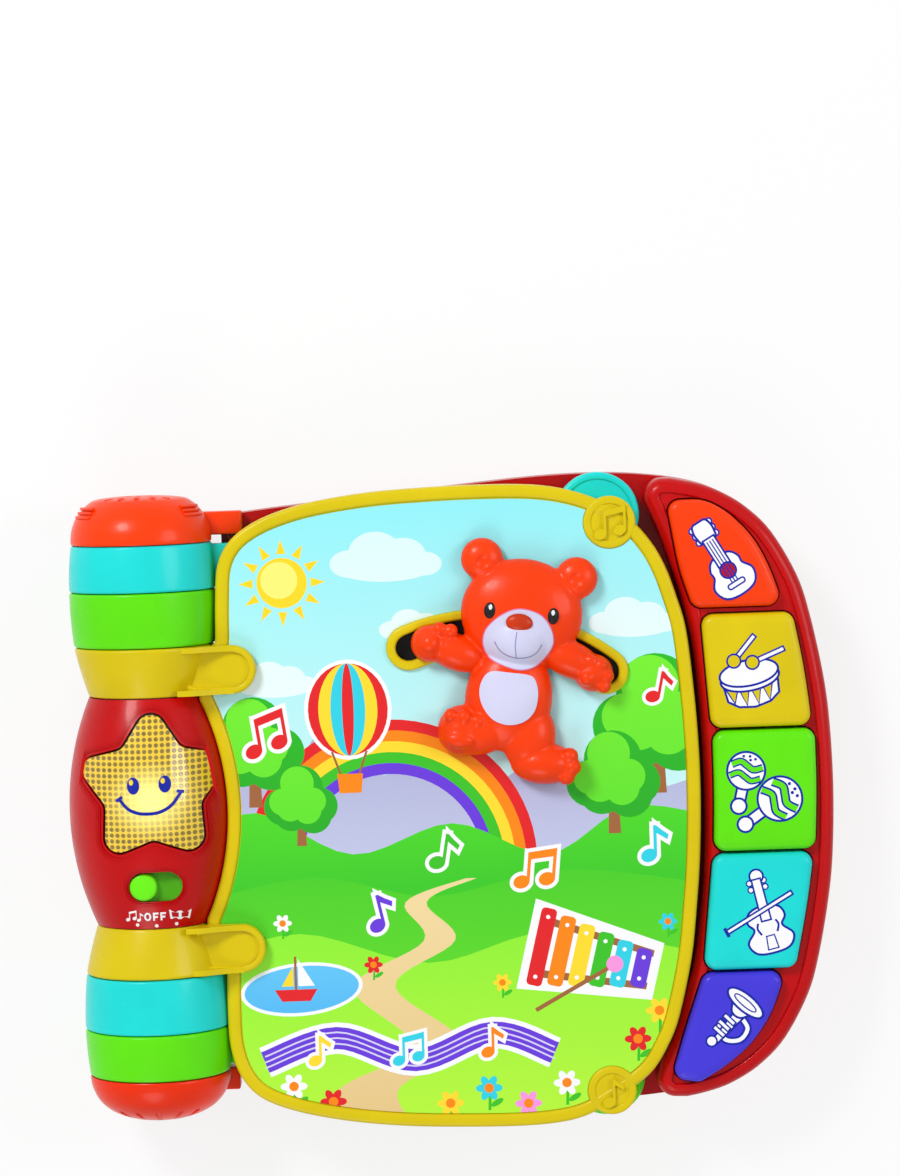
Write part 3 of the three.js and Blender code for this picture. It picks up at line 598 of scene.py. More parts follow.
def lensPlastic():
    # clear amber with a grid of round dimples, painted darker inside each dimple as shade, lit from within at
    # its middle by a painted glow
    look = {"pitch": 0.0021, "dimple": (0.44, 0.28), "glowReach": 0.0185, "strength": 0.35}
    colours = {"dimpleShade": (96, 82, 8), "dimpleShadePale": (160, 130, 12), "ridge": (240, 200, 30), "lit": (252, 232, 130)}
    colours = {label: linear(*colour) for label, colour in colours.items()}
    material = newMaterial("amberLens", linear(236, 196, 30), {"Roughness": 0.16, "Coat Weight": 0.5})
    tree = material.node_tree
    place = objectPlace(tree)
    cell = vectorResult(tree, "DIVIDE", place, (look["pitch"], look["pitch"], 1))
    shifted = vectorResult(tree, "SUBTRACT", vectorResult(tree, "FRACTION", cell), (0.5, 0.5, 0))
    reach = vectorResult(tree, "LENGTH", vectorResult(tree, "MULTIPLY", shifted, (1, 1, 0)))
    dimple = ranged(tree, reach, *look["dimple"], kind="SMOOTHSTEP")
    middle = ((star["x"] - 0.6) * mm, (star["y"] - 4) * mm + middleY, 0)
    away = vectorResult(tree, "MULTIPLY", vectorResult(tree, "SUBTRACT", place, middle), (1, 1.15, 0))
    glow = ranged(tree, vectorResult(tree, "LENGTH", away), look["glowReach"], 0.001, kind="SMOOTHSTEP")
    # painted shade: each dimple's middle is darkened, mottled between two dark ambers
    dimpleShade = mixedColour(tree, noise(tree, place, 210, 2), colours["dimpleShade"], colours["dimpleShadePale"])
    body = mixedColour(tree, dimple, colours["ridge"], dimpleShade)
    lit = mixedColour(tree, glow, body, colours["lit"])
    feeds = {"Base Color": lit, "Emission Color": lit,
             "Emission Strength": calculated(tree, "MULTIPLY", glow, look["strength"]),
             "Normal": bumped(tree, dimple, 0.5, 0.0006, invert=True)}
    for label, value in feeds.items():
        tree.links.new(value, tree.nodes["Principled BSDF"].inputs[label])
    return material


paints = {
    "lens": lensPlastic(),
    "red": plastic("redPlastic", (188, 0, 5)),
    "orange": plastic("orangePlastic", (241, 60, 0)),
    "orangeRed": plastic("orangeRedPlastic", (234, 46, 0)),
    "yellow": plastic("yellowPlastic", (214, 192, 8)),
    "green": plastic("greenPlastic", (94, 222, 6)),
    "cyan": plastic("cyanPlastic", (26, 214, 210)),
    "violet": plastic("violetPlastic", (68, 56, 214)),
    "black": plastic("blackPlastic", (22, 20, 22), roughness=0.5),
    "grey": plastic("greyPlastic", (138, 141, 146), roughness=0.45),
    "knob": plastic("knobPlastic", (105, 235, 20)),
    "slotGreen": plastic("slotGreenPlastic", (70, 160, 10)),
    "lavender": plastic("lavenderPaint", (206, 206, 234), roughness=0.45, coat=0.05),
    "nose": plastic("nosePaint", (196, 52, 10), roughness=0.25, mottle=0.3),
    "pinkEdge": plastic("pinkEdgePaint", (226, 120, 160), roughness=0.4),
    "eyeWhite": plastic("eyeWhitePaint", (226, 238, 244), roughness=0.2),
    # the base's red painted darker as shade, for the lug under the cover's edge
    "redInShade": plastic("redInShadePlastic", (128, 0, 8)),
    "board": plastic("circuitBoard", (28, 107, 58), roughness=0.5),
    "rubber": plastic("padRubber", (216, 216, 208), roughness=0.75, coat=0),
    "steel": plastic("steelFinish", (184, 188, 192), roughness=0.3, metallic=1, coat=0),
    "wrap": plastic("batteryWrap", (48, 52, 58), roughness=0.35),
}
# an ink's colour, or its upper and lower colour and the heights that they belong to
inkLooks = {
    # mouth: darker lavender, painted shade for the teddy's mouth groove
    "keyYellow": [(214, 192, 8)], "keyGreen": [(94, 222, 6)], "mouth": [(150, 150, 190)],
    "redGap": [(176, 4, 10)], "white": [(244, 244, 246)], "navy": [(12, 34, 158)],
    "sky": [(140, 234, 240), (205, 240, 240), 110, -20],
    "cloud": [(214, 242, 244), (232, 248, 248), 100, 20],
    "sun": [(255, 214, 40)], "sunPale": [(255, 238, 120)],
    "farHill": [(160, 164, 200), (190, 194, 226), 40, -20],
    "midHill": [(90, 226, 40), (60, 196, 40), 20, -30],
    "meadow": [(120, 232, 50), (176, 240, 60), -20, -110],
    "meadowDark": [(70, 200, 40), (110, 222, 40), -20, -110],
    "leafLight": [(120, 236, 50), (80, 214, 44), 60, -40],
    "leafDark": [(44, 186, 40), (40, 160, 36), 60, -40],
    "trunk": [(156, 100, 60)], "sand": [(238, 216, 160), (226, 196, 136), -20, -110],
    "pond": [(110, 206, 246), (70, 170, 236), -40, -90],
    "red": [(222, 36, 40)], "orange": [(244, 134, 20)], "yellow": [(250, 216, 50)],
    "green": [(60, 190, 40)], "cyan": [(50, 206, 226)], "violet": [(104, 60, 214)],
    "pink": [(244, 150, 220)], "lilac": [(214, 208, 240)],
    "night": [(60, 70, 190), (150, 120, 220), 100, -40],
    "cream": [(250, 244, 214), (250, 232, 190), 100, -100],
}
inks = {name: ink(name + "Ink", *look) for name, look in inkLooks.items()}

print("camera, helpers and materials ready")

# Print motifs: lists of (outline, ink), drawn in this order


def moved(marks, x, y, size=1, turn=0):
    return [(placed(outline, x, y, turn, size), inkName) for outline, inkName in marks]


def noteMarks(x, y, size, inkName, double=False, turn=0):
    forms = [ellipse(0, 0, 3.3, 2.6, 22)] + ([ellipse(10, 2, 3.3, 2.6, 22)] if double else [])
    forms.append([(1.9, 0), (3.2, 0.4), (3.2, 12), (1.9, 12)])
    if double:
        forms += [[(11.9, 2), (13.2, 2.4), (13.2, 14.4), (11.9, 14)],
                  [(1.9, 9), (13.2, 11.4), (13.2, 14.6), (1.9, 12)]]
    else:
        forms.append([(3.0, 12), (3.0, 9), (7.4, 6.2), (8, 8.2), (5.4, 10)])
    forms = [placed(form, x, y, turn, size) for form in forms]
    border = 1.5 * max(size, 0.8)
    return ([(grown(anticlockwise(form), border), "white") for form in forms]
            + [(form, inkName) for form in forms])


def flower(x, y, size, inkName, petals=6):
    marks = [(stroke([(x, y - 7 * size), (x + 0.4, y)], 0.9 * size, smooth=False), "green"),
             (ellipse(x + 2.4 * size, y - 4.6 * size, 2.2 * size, 0.9 * size, 30, 16), "green")]
    for i in range(petals):
        a = 2 * math.pi * i / petals
        petal = ellipse(x + 2.3 * size * math.cos(a), y + 2.3 * size * math.sin(a), 1.9 * size, 1.2 * size,
                        math.degrees(a), 18)
        marks.append((petal, inkName))
    return marks + [(ellipse(x, y, 1.5 * size, count=18), "orange")]


def cloud(x, y, size, inkName="cloud"):
    lobes = [(-9, 0, 6, 4), (-2, 3, 7.5, 6), (6, 2, 6.5, 5), (12, -0.6, 5, 3.4), (1, -2, 13, 3.4)]
    return [(placed(ellipse(a, b, c, d, 0, 30), x, y, 0, size), inkName) for a, b, c, d in lobes]


def tree(x, y, size):
    lobes = [(-6, 9, 6), (6, 9, 6), (0, 15, 7.4), (-3, 7, 6), (4, 6, 6)]
    marks = [([(-1.6, -4), (1.6, -4), (1.2, 6), (-1.2, 6)], "trunk")]
    marks += [(ellipse(a, b, c, count=28), "leafDark") for a, b, c in lobes]
    marks += [(ellipse(a * 0.8 - 1, b + 1.6, c * 0.74, count=28), "leafLight") for a, b, c in lobes]
    return moved(marks, x, y, size)


def sun(x, y, size):
    ray = [(10.37, -1.67), (15.5, 0), (10.37, 1.67)]
    marks = [(placed(ray, 0, 0, 30 * i), "sun") for i in range(12)]
    marks += [(ellipse(0, 0, 9, count=40), "sun"), (ellipse(-1, 1, 6.6, count=36), "sunPale")]
    return moved(marks, x, y, size)


def balloon(x, y, size):
    marks = [(ellipse(0, 0, 13.6, 15.6), "white")]
    for half, inkName in ((12.4, "red"), (9.2, "yellow"), (5.4, "cyan"), (1.8, "red")):
        marks.append((ellipse(0, 0, half, 14.4), inkName))
    marks += [(stroke([(s * 5.4, -13), (s * 2.6, -21)], 0.7, smooth=False), "trunk") for s in (-1, 1)]
    marks.append(([(-3.4, -26), (3.4, -26), (4, -20), (-4, -20)], "orange"))
    return moved(marks, x, y, size)


def xylophone(x, y, size, turn=-14):
    marks = [([(-25, -17.5), (26, -11), (26, 11), (-25, 17.5)], "white"),
             ([(-22, 9), (-22, 12), (23, 7.6), (23, 5)], "trunk"),
             ([(-22, -12), (-22, -9), (23, -5), (23, -7.6)], "trunk")]
    for i, inkName in enumerate(["red", "orange", "yellow", "green", "cyan", "violet"]):
        half, left = 15 - 1.5 * i, -22 + 7.7 * i
        slat = rounded([(left, -half), (left + 6, -half), (left + 6, half), (left, half)], 1.6, 4)
        marks.append((slat, inkName))
        marks += [(ellipse(left + 3, s * (half - 3.4), 0.8, count=12), "white") for s in (-1, 1)]
    marks.append((stroke([(-16, -24), (8, -2)], 1.6, smooth=False), "trunk"))
    marks.append((ellipse(9.4, -0.6, 3.2, count=24), "pink"))
    return moved(marks, x, y, size, turn)


def boat(x, y, size):
    marks = [([(-9, 0), (9, 0), (6, -5), (-6, -5)], "red"),
             ([(-0.5, 0), (0.5, 0), (0.5, 14), (-0.5, 14)], "trunk"),
             ([(1, 1.4), (8, 1.4), (1, 13)], "white"), ([(-1, 1.4), (-6, 1.4), (-1, 10)], "yellow")]
    return moved(marks, x, y, size)


def drum(x, y, size):
    side = [(-12, -9), (12, -9), (12, 6), (-12, 6)]
    marks = [(grown(side, 1.6), "white"), (ellipse(0, 6, 13.6, 5.6), "white"), (side, "red"),
             (ellipse(0, -9, 12, 4), "red")]
    marks += [([(left, 3), (left + 4, 3), (left + 2, -9)], "yellow") for left in range(-12, 12, 4)]
    marks += [(ellipse(0, 6, 12, 4.2), "cyan"), (ellipse(0, 6.4, 10, 3.2), "white")]
    return moved(marks, x, y, size)


def kite(x, y, size):
    marks = [(stroke([(0, -12), (4, -18), (-2, -24), (3, -31)], 0.8), "violet"),
             ([(0, -12), (9, 2), (0, 12), (-9, 2)], "pink"),
             ([(0, -12), (9, 2), (0, 2)], "orange"), ([(0, 2), (0, 12), (-9, 2)], "yellow")]
    return moved(marks, x, y, size)


def ribbon(points, width):
    marks = [(stroke(points, width + 3.4, 8), "white"), (stroke(points, width, 8), "violet")]
    for i in (-1, 0, 1):
        marks.append((stroke([(x, y + i * width * 0.26) for x, y in points], 0.6, 8), "lilac"))
    return marks


def rainbow(x, y, radius):
    return [(arcBand((x, y), radius - 3.9 * i, -88, 88, 2), inkName)
            for i, inkName in enumerate(["red", "orange", "yellow", "green", "violet"])]


def ground(points, inkName):
    line = curveThrough(points, 6, closed=False)
    return [(line + [Vector((line[-1].x, -140)), Vector((line[0].x, -140))], inkName)]


def path(points, widths):
    line = curveThrough(points, 8, closed=False)
    left, right = [], []
    for i, point in enumerate(line):
        t = i / (len(line) - 1)
        half = (widths[0] * (1 - t) + widths[1] * t) / 2
        left.append(point - Vector((half, 0)))
        right.append(point + Vector((half, 0)))
    return [(right + left[::-1], "sand")]


def flowers(row, size=1.0):
    inkNames = ["white", "red", "yellow", "cyan", "pink"]
    return [mark for i, (x, y) in enumerate(row) for mark in flower(x, y, size, inkNames[i % 5])]


def oval(x, y, halfX, halfY, inkName, turn=0):
    return [(ellipse(x, y, halfX, halfY, turn), inkName)]


coverMarks = (
    sun(-58, 80, 1.0)
    + cloud(-22, 86, 1.25) + cloud(66, 62, 1.0) + cloud(-62, 44, 0.9) + cloud(-12, 62, 0.8)
    + ground([(-95, -2), (-76, 14), (-62, 6), (-42, 30), (-24, 10), (-10, 22), (8, 2), (30, 12), (60, 0),
              (95, 8)], "farHill")
    + rainbow(-22, -22, 50)
    + ground([(-95, -12), (-70, -2), (-36, -18), (0, -8), (34, -20), (64, -4), (98, -10)], "midHill")
    + tree(-70, 6, 1.5) + tree(74, 8, 1.9) + tree(58, -8, 1.4) + tree(-54, -10, 1.1)
    + ground([(-95, -34), (-50, -26), (-8, -34), (40, -26), (98, -34)], "meadowDark")
    + ground([(-95, -56), (-56, -46), (-10, -58), (36, -48), (98, -60)], "meadow")
    + path([(-24, -124), (-34, -104), (-8, -88), (-30, -66), (-6, -50), (-14, -36), (6, -28)], (26, 4))
    + oval(-56, -66, 22, 9.6, "white", 4) + oval(-56, -66, 20.6, 8.4, "pond", 4) + boat(-58, -66, 0.85)
    + balloon(-36, 34, 1.15) + xylophone(48, -58, 0.95)
    + ribbon([(-70, -92), (-44, -84), (-16, -93), (12, -84), (34, -92)], 8)
    + noteMarks(-52, -92, 0.75, "yellow") + noteMarks(-22, -93, 0.7, "cyan", True)
    + noteMarks(10, -91, 0.75, "orange") + noteMarks(-70, 20, 0.95, "red", True, 8)
    + noteMarks(-6, -22, 0.9, "green", False, -10) + noteMarks(70, -22, 0.9, "cyan")
    + noteMarks(24, -30, 0.9, "orange", True, -6) + noteMarks(-28, -44, 0.9, "violet", False, 12)
    + noteMarks(73, 35, 0.8, "red", False, -12)
    + flowers([(-60, -101), (-46, -107), (-4, -109), (10, -104), (24, -110), (38, -103), (64, -88),
               (72, -78)], 1.15)
    + flowers([(-62, -42), (-30, -58), (16, -66), (76, -46)], 0.8)
)
print("print motifs ready")

# Base: tray, upper shell with the raised key panel

base = {
    "left": -80, "middle": 0.85, "wall": 2, "rim": 4.2, "rimDrop": 1.1, "corner": 12, "cornerRadius": 6.5,
    "seamGap": 0.12, "roof": 1.4, "foot": 2, "doorGap": 0.3, "screwBore": 3.1,
    "seatFrom": -98, "seatHalf": 38,
    "upper": [(137.5, 0), (136.8, 22), (135, 39.2), (130.8, 61), (126.3, 75.9), (117.6, 91.5),
              (108.9, 100.5), (100.3, 106.1), (91.6, 109.6), (78.6, 112.2), (60, 113.8), (35, 113.4),
              (0, 110.6), (-40, 107), (-66, 104.6), (-76, 103), (-79.4, 99.5)],
    "panel": [(69, 112.6), (73, 104), (78, 92), (82, 79), (85.6, 65), (88.4, 50), (90.3, 25), (90.9, 0),
              (90.3, -25), (88.2, -45), (85.5, -62), (82.4, -72), (78.4, -85.6), (74.6, -94),
              (69.8, -104), (69, -110.4)],
}
baseSide = [(x, -y) for x, y in base["upper"][:0:-1]] + base["upper"]
baseOutline = [p + Vector((0, base["middle"])) for p in
               curveThrough([(base["left"], -97)] + baseSide + [(base["left"], 97)], 5, closed=False)]

keys = {
    "key_orange": [(88.6, 66), (120.9, 66), (115.9, 81), (110.4, 91.4), (101.7, 100.2), (93.4, 104.9),
                   (80, 104.7), (84, 80)],
    "key_yellow": [(93.8, 22.7), (129.9, 22.7), (127.6, 44), (123.9, 63.5), (91.2, 63.5)],
    "key_green": [(93.5, -21.7), (129.9, -21.7), (131, 0), (130.8, 21.6), (94.2, 21.6), (94.3, 0)],
    "key_cyan": [(88.6, -64.5), (121.6, -64.5), (126.2, -43), (129.3, -22.8), (93.2, -22.8)],
    "key_violet": [(75.8, -103.4), (86, -104.9), (95, -99.8), (104.6, -92.2), (112.4, -81.4),
                   (118.1, -65.6), (88.6, -65.6), (81.4, -85.8)],
}
keyLook = {"corner": 4.2, "gap": 0.6, "foot": 29, "edge": 2.5, "crown": 0.25, "wellDepth": 5}
keyOutlines = {name: rounded(corners, keyLook["corner"], 8) for name, corners in keys.items()}


def trayOpenings():
    # right through the floor, for the battery door and the case screws
    low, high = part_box("battery_door")
    gap = base["doorGap"]
    openings = [block(low.x / mm - gap, high.x / mm + gap, (low.y - middleY) / mm - gap,
                      (high.y - middleY) / mm + gap, -1, base["wall"] + 1)]
    for i in range(1, 7):
        low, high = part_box(f"case_screw_{i}")
        middle = (low + high) / 2 / mm
        openings.append(rod(middle.x, middle.y - middleY / mm, -1, base["wall"] + 1, base["screwBore"]))
    return openings


def makeTray():
    seam = heights["traySeam"]
    tray = prism(baseOutline, 0, seam - base["seamGap"], bottomBevel=base["foot"])
    hollow = prism(grown(baseOutline, -base["wall"]), base["wall"], seam + 1)
    tray = combined(tray, hollow, *trayOpenings())
    half = spine["middleHalf"] - spine["ringGap"] / 2
    profile = [(spine["bore"], -half)] + barrelLine(half, steps=12) + [(spine["bore"], half)]
    rear = turned(profile, closed=True, start=90.3, sweep=179.4, sides=64)
    seat = block(base["seatFrom"], base["left"] + 1, -base["seatHalf"], base["seatHalf"], 1, seam - 0.2)
    bore = turned([(0, -42), (spine["bore"], -42), (spine["bore"], 42), (0, 42)])
    return tray, rear, combined(seat, bore)


def makePanel():
    seam = heights["traySeam"] + base["seamGap"]
    deck = prism(baseOutline, seam, heights["deck"])
    under = prism(grown(baseOutline, -base["wall"]), seam - 1, heights["deck"] - base["roof"])
    edge = curveThrough(base["panel"], 5, closed=False)
    right = [p for p in baseOutline if p.x > edge[0].x + 0.3]
    upper, lower = edge[0], edge[-1]
    outline, edge = [[p for p in points if min((p - upper).length, (p - lower).length) > base["corner"]]
                     for points in (right, edge)]
    radius = base["cornerRadius"]
    outline = (outline + cornerArc(outline[-1], upper, edge[0], radius, 12, 0.97) + edge
               + cornerArc(edge[-1], lower, outline[0], radius, 12, 0.97))
    rim = base["rim"]
    body = raisedPlate(outline, seam, [(0, heights["panel"] - seam - rim)] + edgeRound(rim, 8) + [(0.3, 0)]
                       + edgeFall(0.6, 3) + [(0.1, 0.6 - base["rimDrop"])])
    return combined(deck, under), body


tray, rear, seat = makeTray()
addPiece("baseTray", [tray, rear, seat], ["red"], "root", ["base_tray"])
deck, panelBody = makePanel()
wells = [prism(grown(outline, keyLook["gap"]), keyLook["foot"] - keyLook["wellDepth"], 45)
         for outline in keyOutlines.values()]
panelBody = combined(combined(panelBody, *wells), deck, operation="UNION")
addPiece("basePanel", [panelBody], ["red"], "root", ["base_panel"])


def line(points, width=0.85, smooth=True):
    return (stroke(points, width, 6, smooth), "navy")


def outlined(forms, width=0.8, fill="white"):
    # each form with a dark edge, one over the other
    marks = []
    for form in forms:
        form = anticlockwise(form)
        marks += [(grown(form, width), "navy"), (form, fill)]
    return marks


def bar(start, end, width):
    return stroke([start, end], width, smooth=False)


def guitarIcon():
    head = [(-2.6, 13.2), (2.6, 13.2), (3.2, 17.4), (2.4, 20), (-2.4, 20), (-3.2, 17.4)]
    body = [(0, -8.2), (5.4, -7), (7.3, -2.8), (5.2, 0.8), (5.2, 3.4), (3.4, 6), (0, 6.8), (-3.4, 6),
            (-5.2, 3.4), (-5.2, 0.8), (-7.3, -2.8), (-5.4, -7)]
    bridge = [(-2.9, -5), (2.9, -5), (2.9, -3.8), (-2.9, -3.8)]
    marks = outlined([ellipse(s * 3.3, y, 0.8, count=16) for s in (-1, 1) for y in (14.2, 16.6, 18.8)], 0.58)
    marks += outlined([rounded(head, 1, 4), curveThrough(body, 4)], 0.77)
    marks += outlined([[(-1.9, 3), (1.9, 3), (1.9, 13.6), (-1.9, 13.6)]], 0.67)
    marks += [(ellipse(0, 1, 3.1, count=28), "navy"), (ellipse(0, 1, 2.4, count=28), "redGap")]
    marks += [line([(x, -3.8), (x, 13)], 0.45, False) for x in (-1.1, 0, 1.1)]
    return moved(marks + outlined([rounded(bridge, 0.5, 3)], 0.58), 101.8, 78.4, 1.04, 30.8)


def drumIcon():
    flags = [(-8.9, -5.4, -7, -3.4), (-4.6, -1.2, -2.8, -5), (-0.4, 3, 1.4, -5.4), (3.8, 7.2, 5.6, -4.6)]
    marks = outlined([[(-9.6, 4.6), (-8.9, -2.6), (-5.6, -5), (0, -6), (5.6, -5), (8.9, -2.6), (9.6, 4.6)]])
    marks += outlined([[(left, 1.6), (tip, low), (right, 0.8)] for left, right, tip, low in flags], 0.55,
                      "keyYellow")
    marks += outlined([ellipse(0, y, 10.2, 4.2) for y in (4.2, 6)])
    for head, grip in (((-4.4, 11.2), (4.4, 18.6)), ((2, 9.4), (13.8, 12))):
        marks += outlined([bar(head, grip, 1.1)], 0.6)
        marks += outlined([ellipse(head[0], head[1], 2.1, count=22)], 0.65, "keyYellow")
    return moved(marks, 108.6, 36.4, 1, 10)


def maracasIcon():
    marks = []
    waves = [(0.3, "navy", 0.44), (0.3, "keyGreen", 0.26), (-0.34, "navy", 0.4), (-0.34, "keyGreen", 0.22)]
    for head, radius, grip in (((105.6, 7.2), 6.4, (102.6, -5.4)), ((117.4, -3.2), 7.6, (104.8, -12))):
        marks += outlined([bar(head, grip, 3), ellipse(*grip, 2.4, count=22), ellipse(*head, radius)])
        pattern = []
        for shift, inkName, width in waves:
            wave = [(-0.86, -0.1), (-0.4, 0.16), (0, 0), (0.4, -0.16), (0.88, 0.06)]
            pattern.append((stroke([(x, y + shift) for x, y in wave], width), inkName))
        pattern += [(ellipse(a, b, 0.08, count=12), "navy")
                    for a, b in ((-0.3, 0.78), (0.05, 0.84), (0.38, 0.74), (0.12, 0.64))]
        turn = math.degrees(math.atan2(grip[1] - head[1], grip[0] - head[0])) + 90
        marks += moved(pattern, *head, radius, turn)
    return marks


def violinIcon():
    body = [(0, -7.8), (5.2, -7), (7.2, -3.6), (4.7, -0.6), (4.4, 1), (5.9, 3.2), (4.6, 6.2), (0, 7.4),
            (-4.6, 6.2), (-5.9, 3.2), (-4.4, 1), (-4.7, -0.6), (-7.2, -3.6), (-5.2, -7)]
    marks = outlined([ellipse(s * 2.4, y, 0.7, count=14) for s in (-1, 1) for y in (13.6, 15.8)], 0.45)
    marks += outlined([ellipse(0.4, 17.6, 1.9, count=22)], 0.64) + outlined([curveThrough(body, 4)], 0.73)
    marks += outlined([[(-1.3, 3), (1.3, 3), (1.2, 16.4), (-1.2, 16.4)]], 0.59)
    marks += [line([(s * 2.9, 2.4), (s * 3.5, 0.6), (s * 2.6, -1.6)], 0.7) for s in (-1, 1)]
    marks += outlined([[(-1.5, -6.6), (1.5, -6.6), (1.1, -2.6), (-1.1, -2.6)]], 0.45)
    bow = outlined([bar((97.4, -50.6), (120.4, -37.2), 0.9)], 0.65)
    bow.append(line([(96.2, -49.2), (97.8, -52.4)], 1.2, False))
    return moved(marks, 112, -49.8, 1.1, 13) + bow


def trumpetIcon():
    loop = [(94.8, -82.8), (93.2, -85), (95.4, -89.4), (100.6, -89.6), (103.4, -85.8), (101.6, -82)]
    horn = [(97.4, -71.9), (98.6, -75.6), (98.4, -79.4), (100.9, -81.4), (104.6, -80.6), (108.2, -81.2)]
    tube = [(90.4, -90), (91.6, -88.6), (99.2, -79.6), (101.6, -81.8), (92.2, -90.4)]
    marks = outlined([stroke(curveThrough(loop, 6, closed=False), 1.4), tube], 0.75)
    marks += outlined([curveThrough(horn, 6, closed=False), ellipse(102.9, -76.4, 7.4, 2.6, -42)])
    marks += outlined([ellipse(102.9, -76.4, 4.6, 1.0, -42)], 0.5)
    marks += outlined([bar((x, y), (x + 3.2, y - 3.2), 1)
                       for x, y in ((93.4, -82.6), (95.4, -80.6), (91.6, -84.8))], 0.55)
    return marks + outlined([ellipse(90.4, -89.8, 1.6, count=18)], 0.65)


icons = {"key_orange": guitarIcon, "key_yellow": drumIcon, "key_green": maracasIcon, "key_cyan": violinIcon,
         "key_violet": trumpetIcon}
for name, makeIcon in icons.items():
    rise = heights["keyTop"] - keyLook["foot"] - keyLook["edge"] - keyLook["crown"]
    crown = [(0.5, keyLook["crown"] * 0.6), (0.6, keyLook["crown"] * 0.4)]
    cap = raisedPlate(keyOutlines[name], keyLook["foot"], [(0, rise)] + edgeRound(keyLook["edge"], 7) + crown)
    icon, iconInks = picture(makeIcon(), heights["keyTop"] - 0.2, heights["keyTop"] + 0.06, first=1)
    addPiece(name + "_cap", [cap, (icon, None)], [name.removeprefix("key_")], name, [name], iconInks)

print("base and keys made")

# Spine: middle, star light, switch, rings and caps

starCorners = [(star["x"] + r * math.cos(a), star["y"] + r * math.sin(a))
               for r, a in ((star["inner"] if i % 2 else star["outer"], math.radians(90 + 36 * i))
                            for i in range(10))]
starOutline = rounded(starCorners, star["round"], 8)
switch = {"x": -106, "y": -25.5, "halfLength": 9.5, "halfWidth": 5.45, "knob": 4.9, "depth": 4.2,
          "sink": 0.4, "endGap": 0.3, "floorGap": 0.1}
# steps of the soft edge round the two openings: (distance outwards, depth)
softEdges = {"star": [(2.0, 0.75), (2.7, 0.35), (3.4, 0.12)], "slot": [(0.6, 0.9), (1.1, 0.5), (1.7, 0.2)]}


def barrelShell(outerInset, innerInset, half):
    return turned(barrelLine(half, outerInset) + barrelLine(half, innerInset)[::-1], closed=True)


def switchOutline(gap=0.0):
    return stadium(switch["x"], switch["y"], switch["halfLength"] - gap, switch["halfWidth"] - gap)


def makeSpineFront():
    half = spine["middleHalf"] - spine["ringGap"] / 2
    profile = barrelLine(half) + [(spine["bore"], half), (spine["bore"], -half)]
    shell = turned(profile, closed=True, start=-90, sweep=180, sides=96)
    cuts = [prism(grown(starOutline, star["gap"]), spineZ + 15, 100)]
    cuts.append(prism(switchOutline(), spineZ + 20, 100))
    for outline, edgeName in ((starOutline, "star"), (switchOutline(), "slot")):
        for extra, depth in softEdges[edgeName]:
            tool = prism(grown(outline, extra), spineZ + 15, 100)
            cuts.append(combined(tool, barrelShell(depth, 12, half)))
    return combined(shell, *cuts)


def makeLens():
    half = spine["middleHalf"] - 2
    shell = barrelShell(star["sink"], star["sink"] + star["wall"], half)
    return combined(shell, prism(starOutline, spineZ + 5, 100), operation="INTERSECT")


def starFace():
    marks = []
    for x, y in ((-112.4, 11.0), (-101.2, 11.3)):
        marks += oval(x, y, 2.2, 3, "navy") + oval(x - 0.7, y + 1.2, 0.75, 1, "yellow")
    smile = [(-117.4, 6.2), (-114.6, 3), (-111.2, 1.4), (-107.4, 1), (-103.2, 1.5), (-99, 3.8), (-95.8, 8)]
    return marks + [(stroke(smile, 1.15, 8), "navy"), (bar((-118.6, 5.6), (-116.4, 7.2), 1.1), "navy"),
                    (bar((-97.2, 8.6), (-94.6, 8.2), 1.1), "navy")]


def spineLabels():
    marks = oval(-109.3, -36.3, 1.25, 1.55, "white") + oval(-109.3, -36.3, 0.6, 0.9, "redGap")
    letterF = [[(0, -3), (0.65, -3), (0.65, 0), (0, 0)], [(0, -0.7), (2, -0.7), (2, 0), (0, 0)],
               [(0, -2), (1.7, -2), (1.7, -1.3), (0, -1.3)]]
    marks += [(placed(form, x, -34.8), "white") for x in (-107.4, -104.8) for form in letterF]
    notes = noteMarks(-116.4, -37.3, 0.24, "navy", True) + noteMarks(-112.5, -37.5, 0.22, "navy")
    marks += [(outline, "white") for outline, inkName in notes if inkName == "navy"]
    for s in (-1, 1):
        leafHalf = [(0, -1.7), (s * 3.3, -1.5), (s * 3.9, 1.9), (0, 1.5)]
        page = [(s * 0.5, -0.9), (s * 2.7, -0.8), (s * 3.1, 1.1), (s * 0.5, 0.8)]
        marks += moved([(leafHalf, "white"), (page, "redGap")], -97.9, -36.2, 1, -4)
    for x, y in ((-113.1, -39.3), (-106.3, -39.8), (-99.3, -39.5)):
        marks += oval(x, y, 0.62, 0.62, "white")
    return marks


spineShell = makeSpineFront()
labels, labelInks = picture(spineLabels(), 0, 1, first=1)
draped(labels, spineShell, 0.05)
addPiece("spineFront", [spineShell, (labels, None)], ["red"], "root", ["spine_front"], labelInks)
lensShape = makeLens()
faceMarks, faceInks = picture(starFace(), 0, 1, first=1)
draped(faceMarks, lensShape, 0.12)
addPiece("starLens", [lensShape, (faceMarks, None)], ["lens"], "root", ["star_lens"], faceInks)

surfaceZ = spineZ + middleRadiusAt(switch["y"])
knobX = switch["x"] - switch["halfLength"] + switch["knob"] + switch["endGap"]
knobShape = raisedPlate(ellipse(knobX, switch["y"], switch["knob"], count=48), surfaceZ - switch["sink"] - 4,
                        [(0, 2.4)] + edgeRound(1.3, 5) + [(1.2, 0.2), (1.2, 0.1)])
slotFloor = prism(switchOutline(switch["floorGap"]), spineZ + 19, surfaceZ - switch["depth"])
addPiece("switchPlate", [slotFloor], ["slotGreen"], "root", ["switch_plate"])
addPiece("switchKnob", [knobShape], ["knob"], "switch_knob", ["switch_knob"])


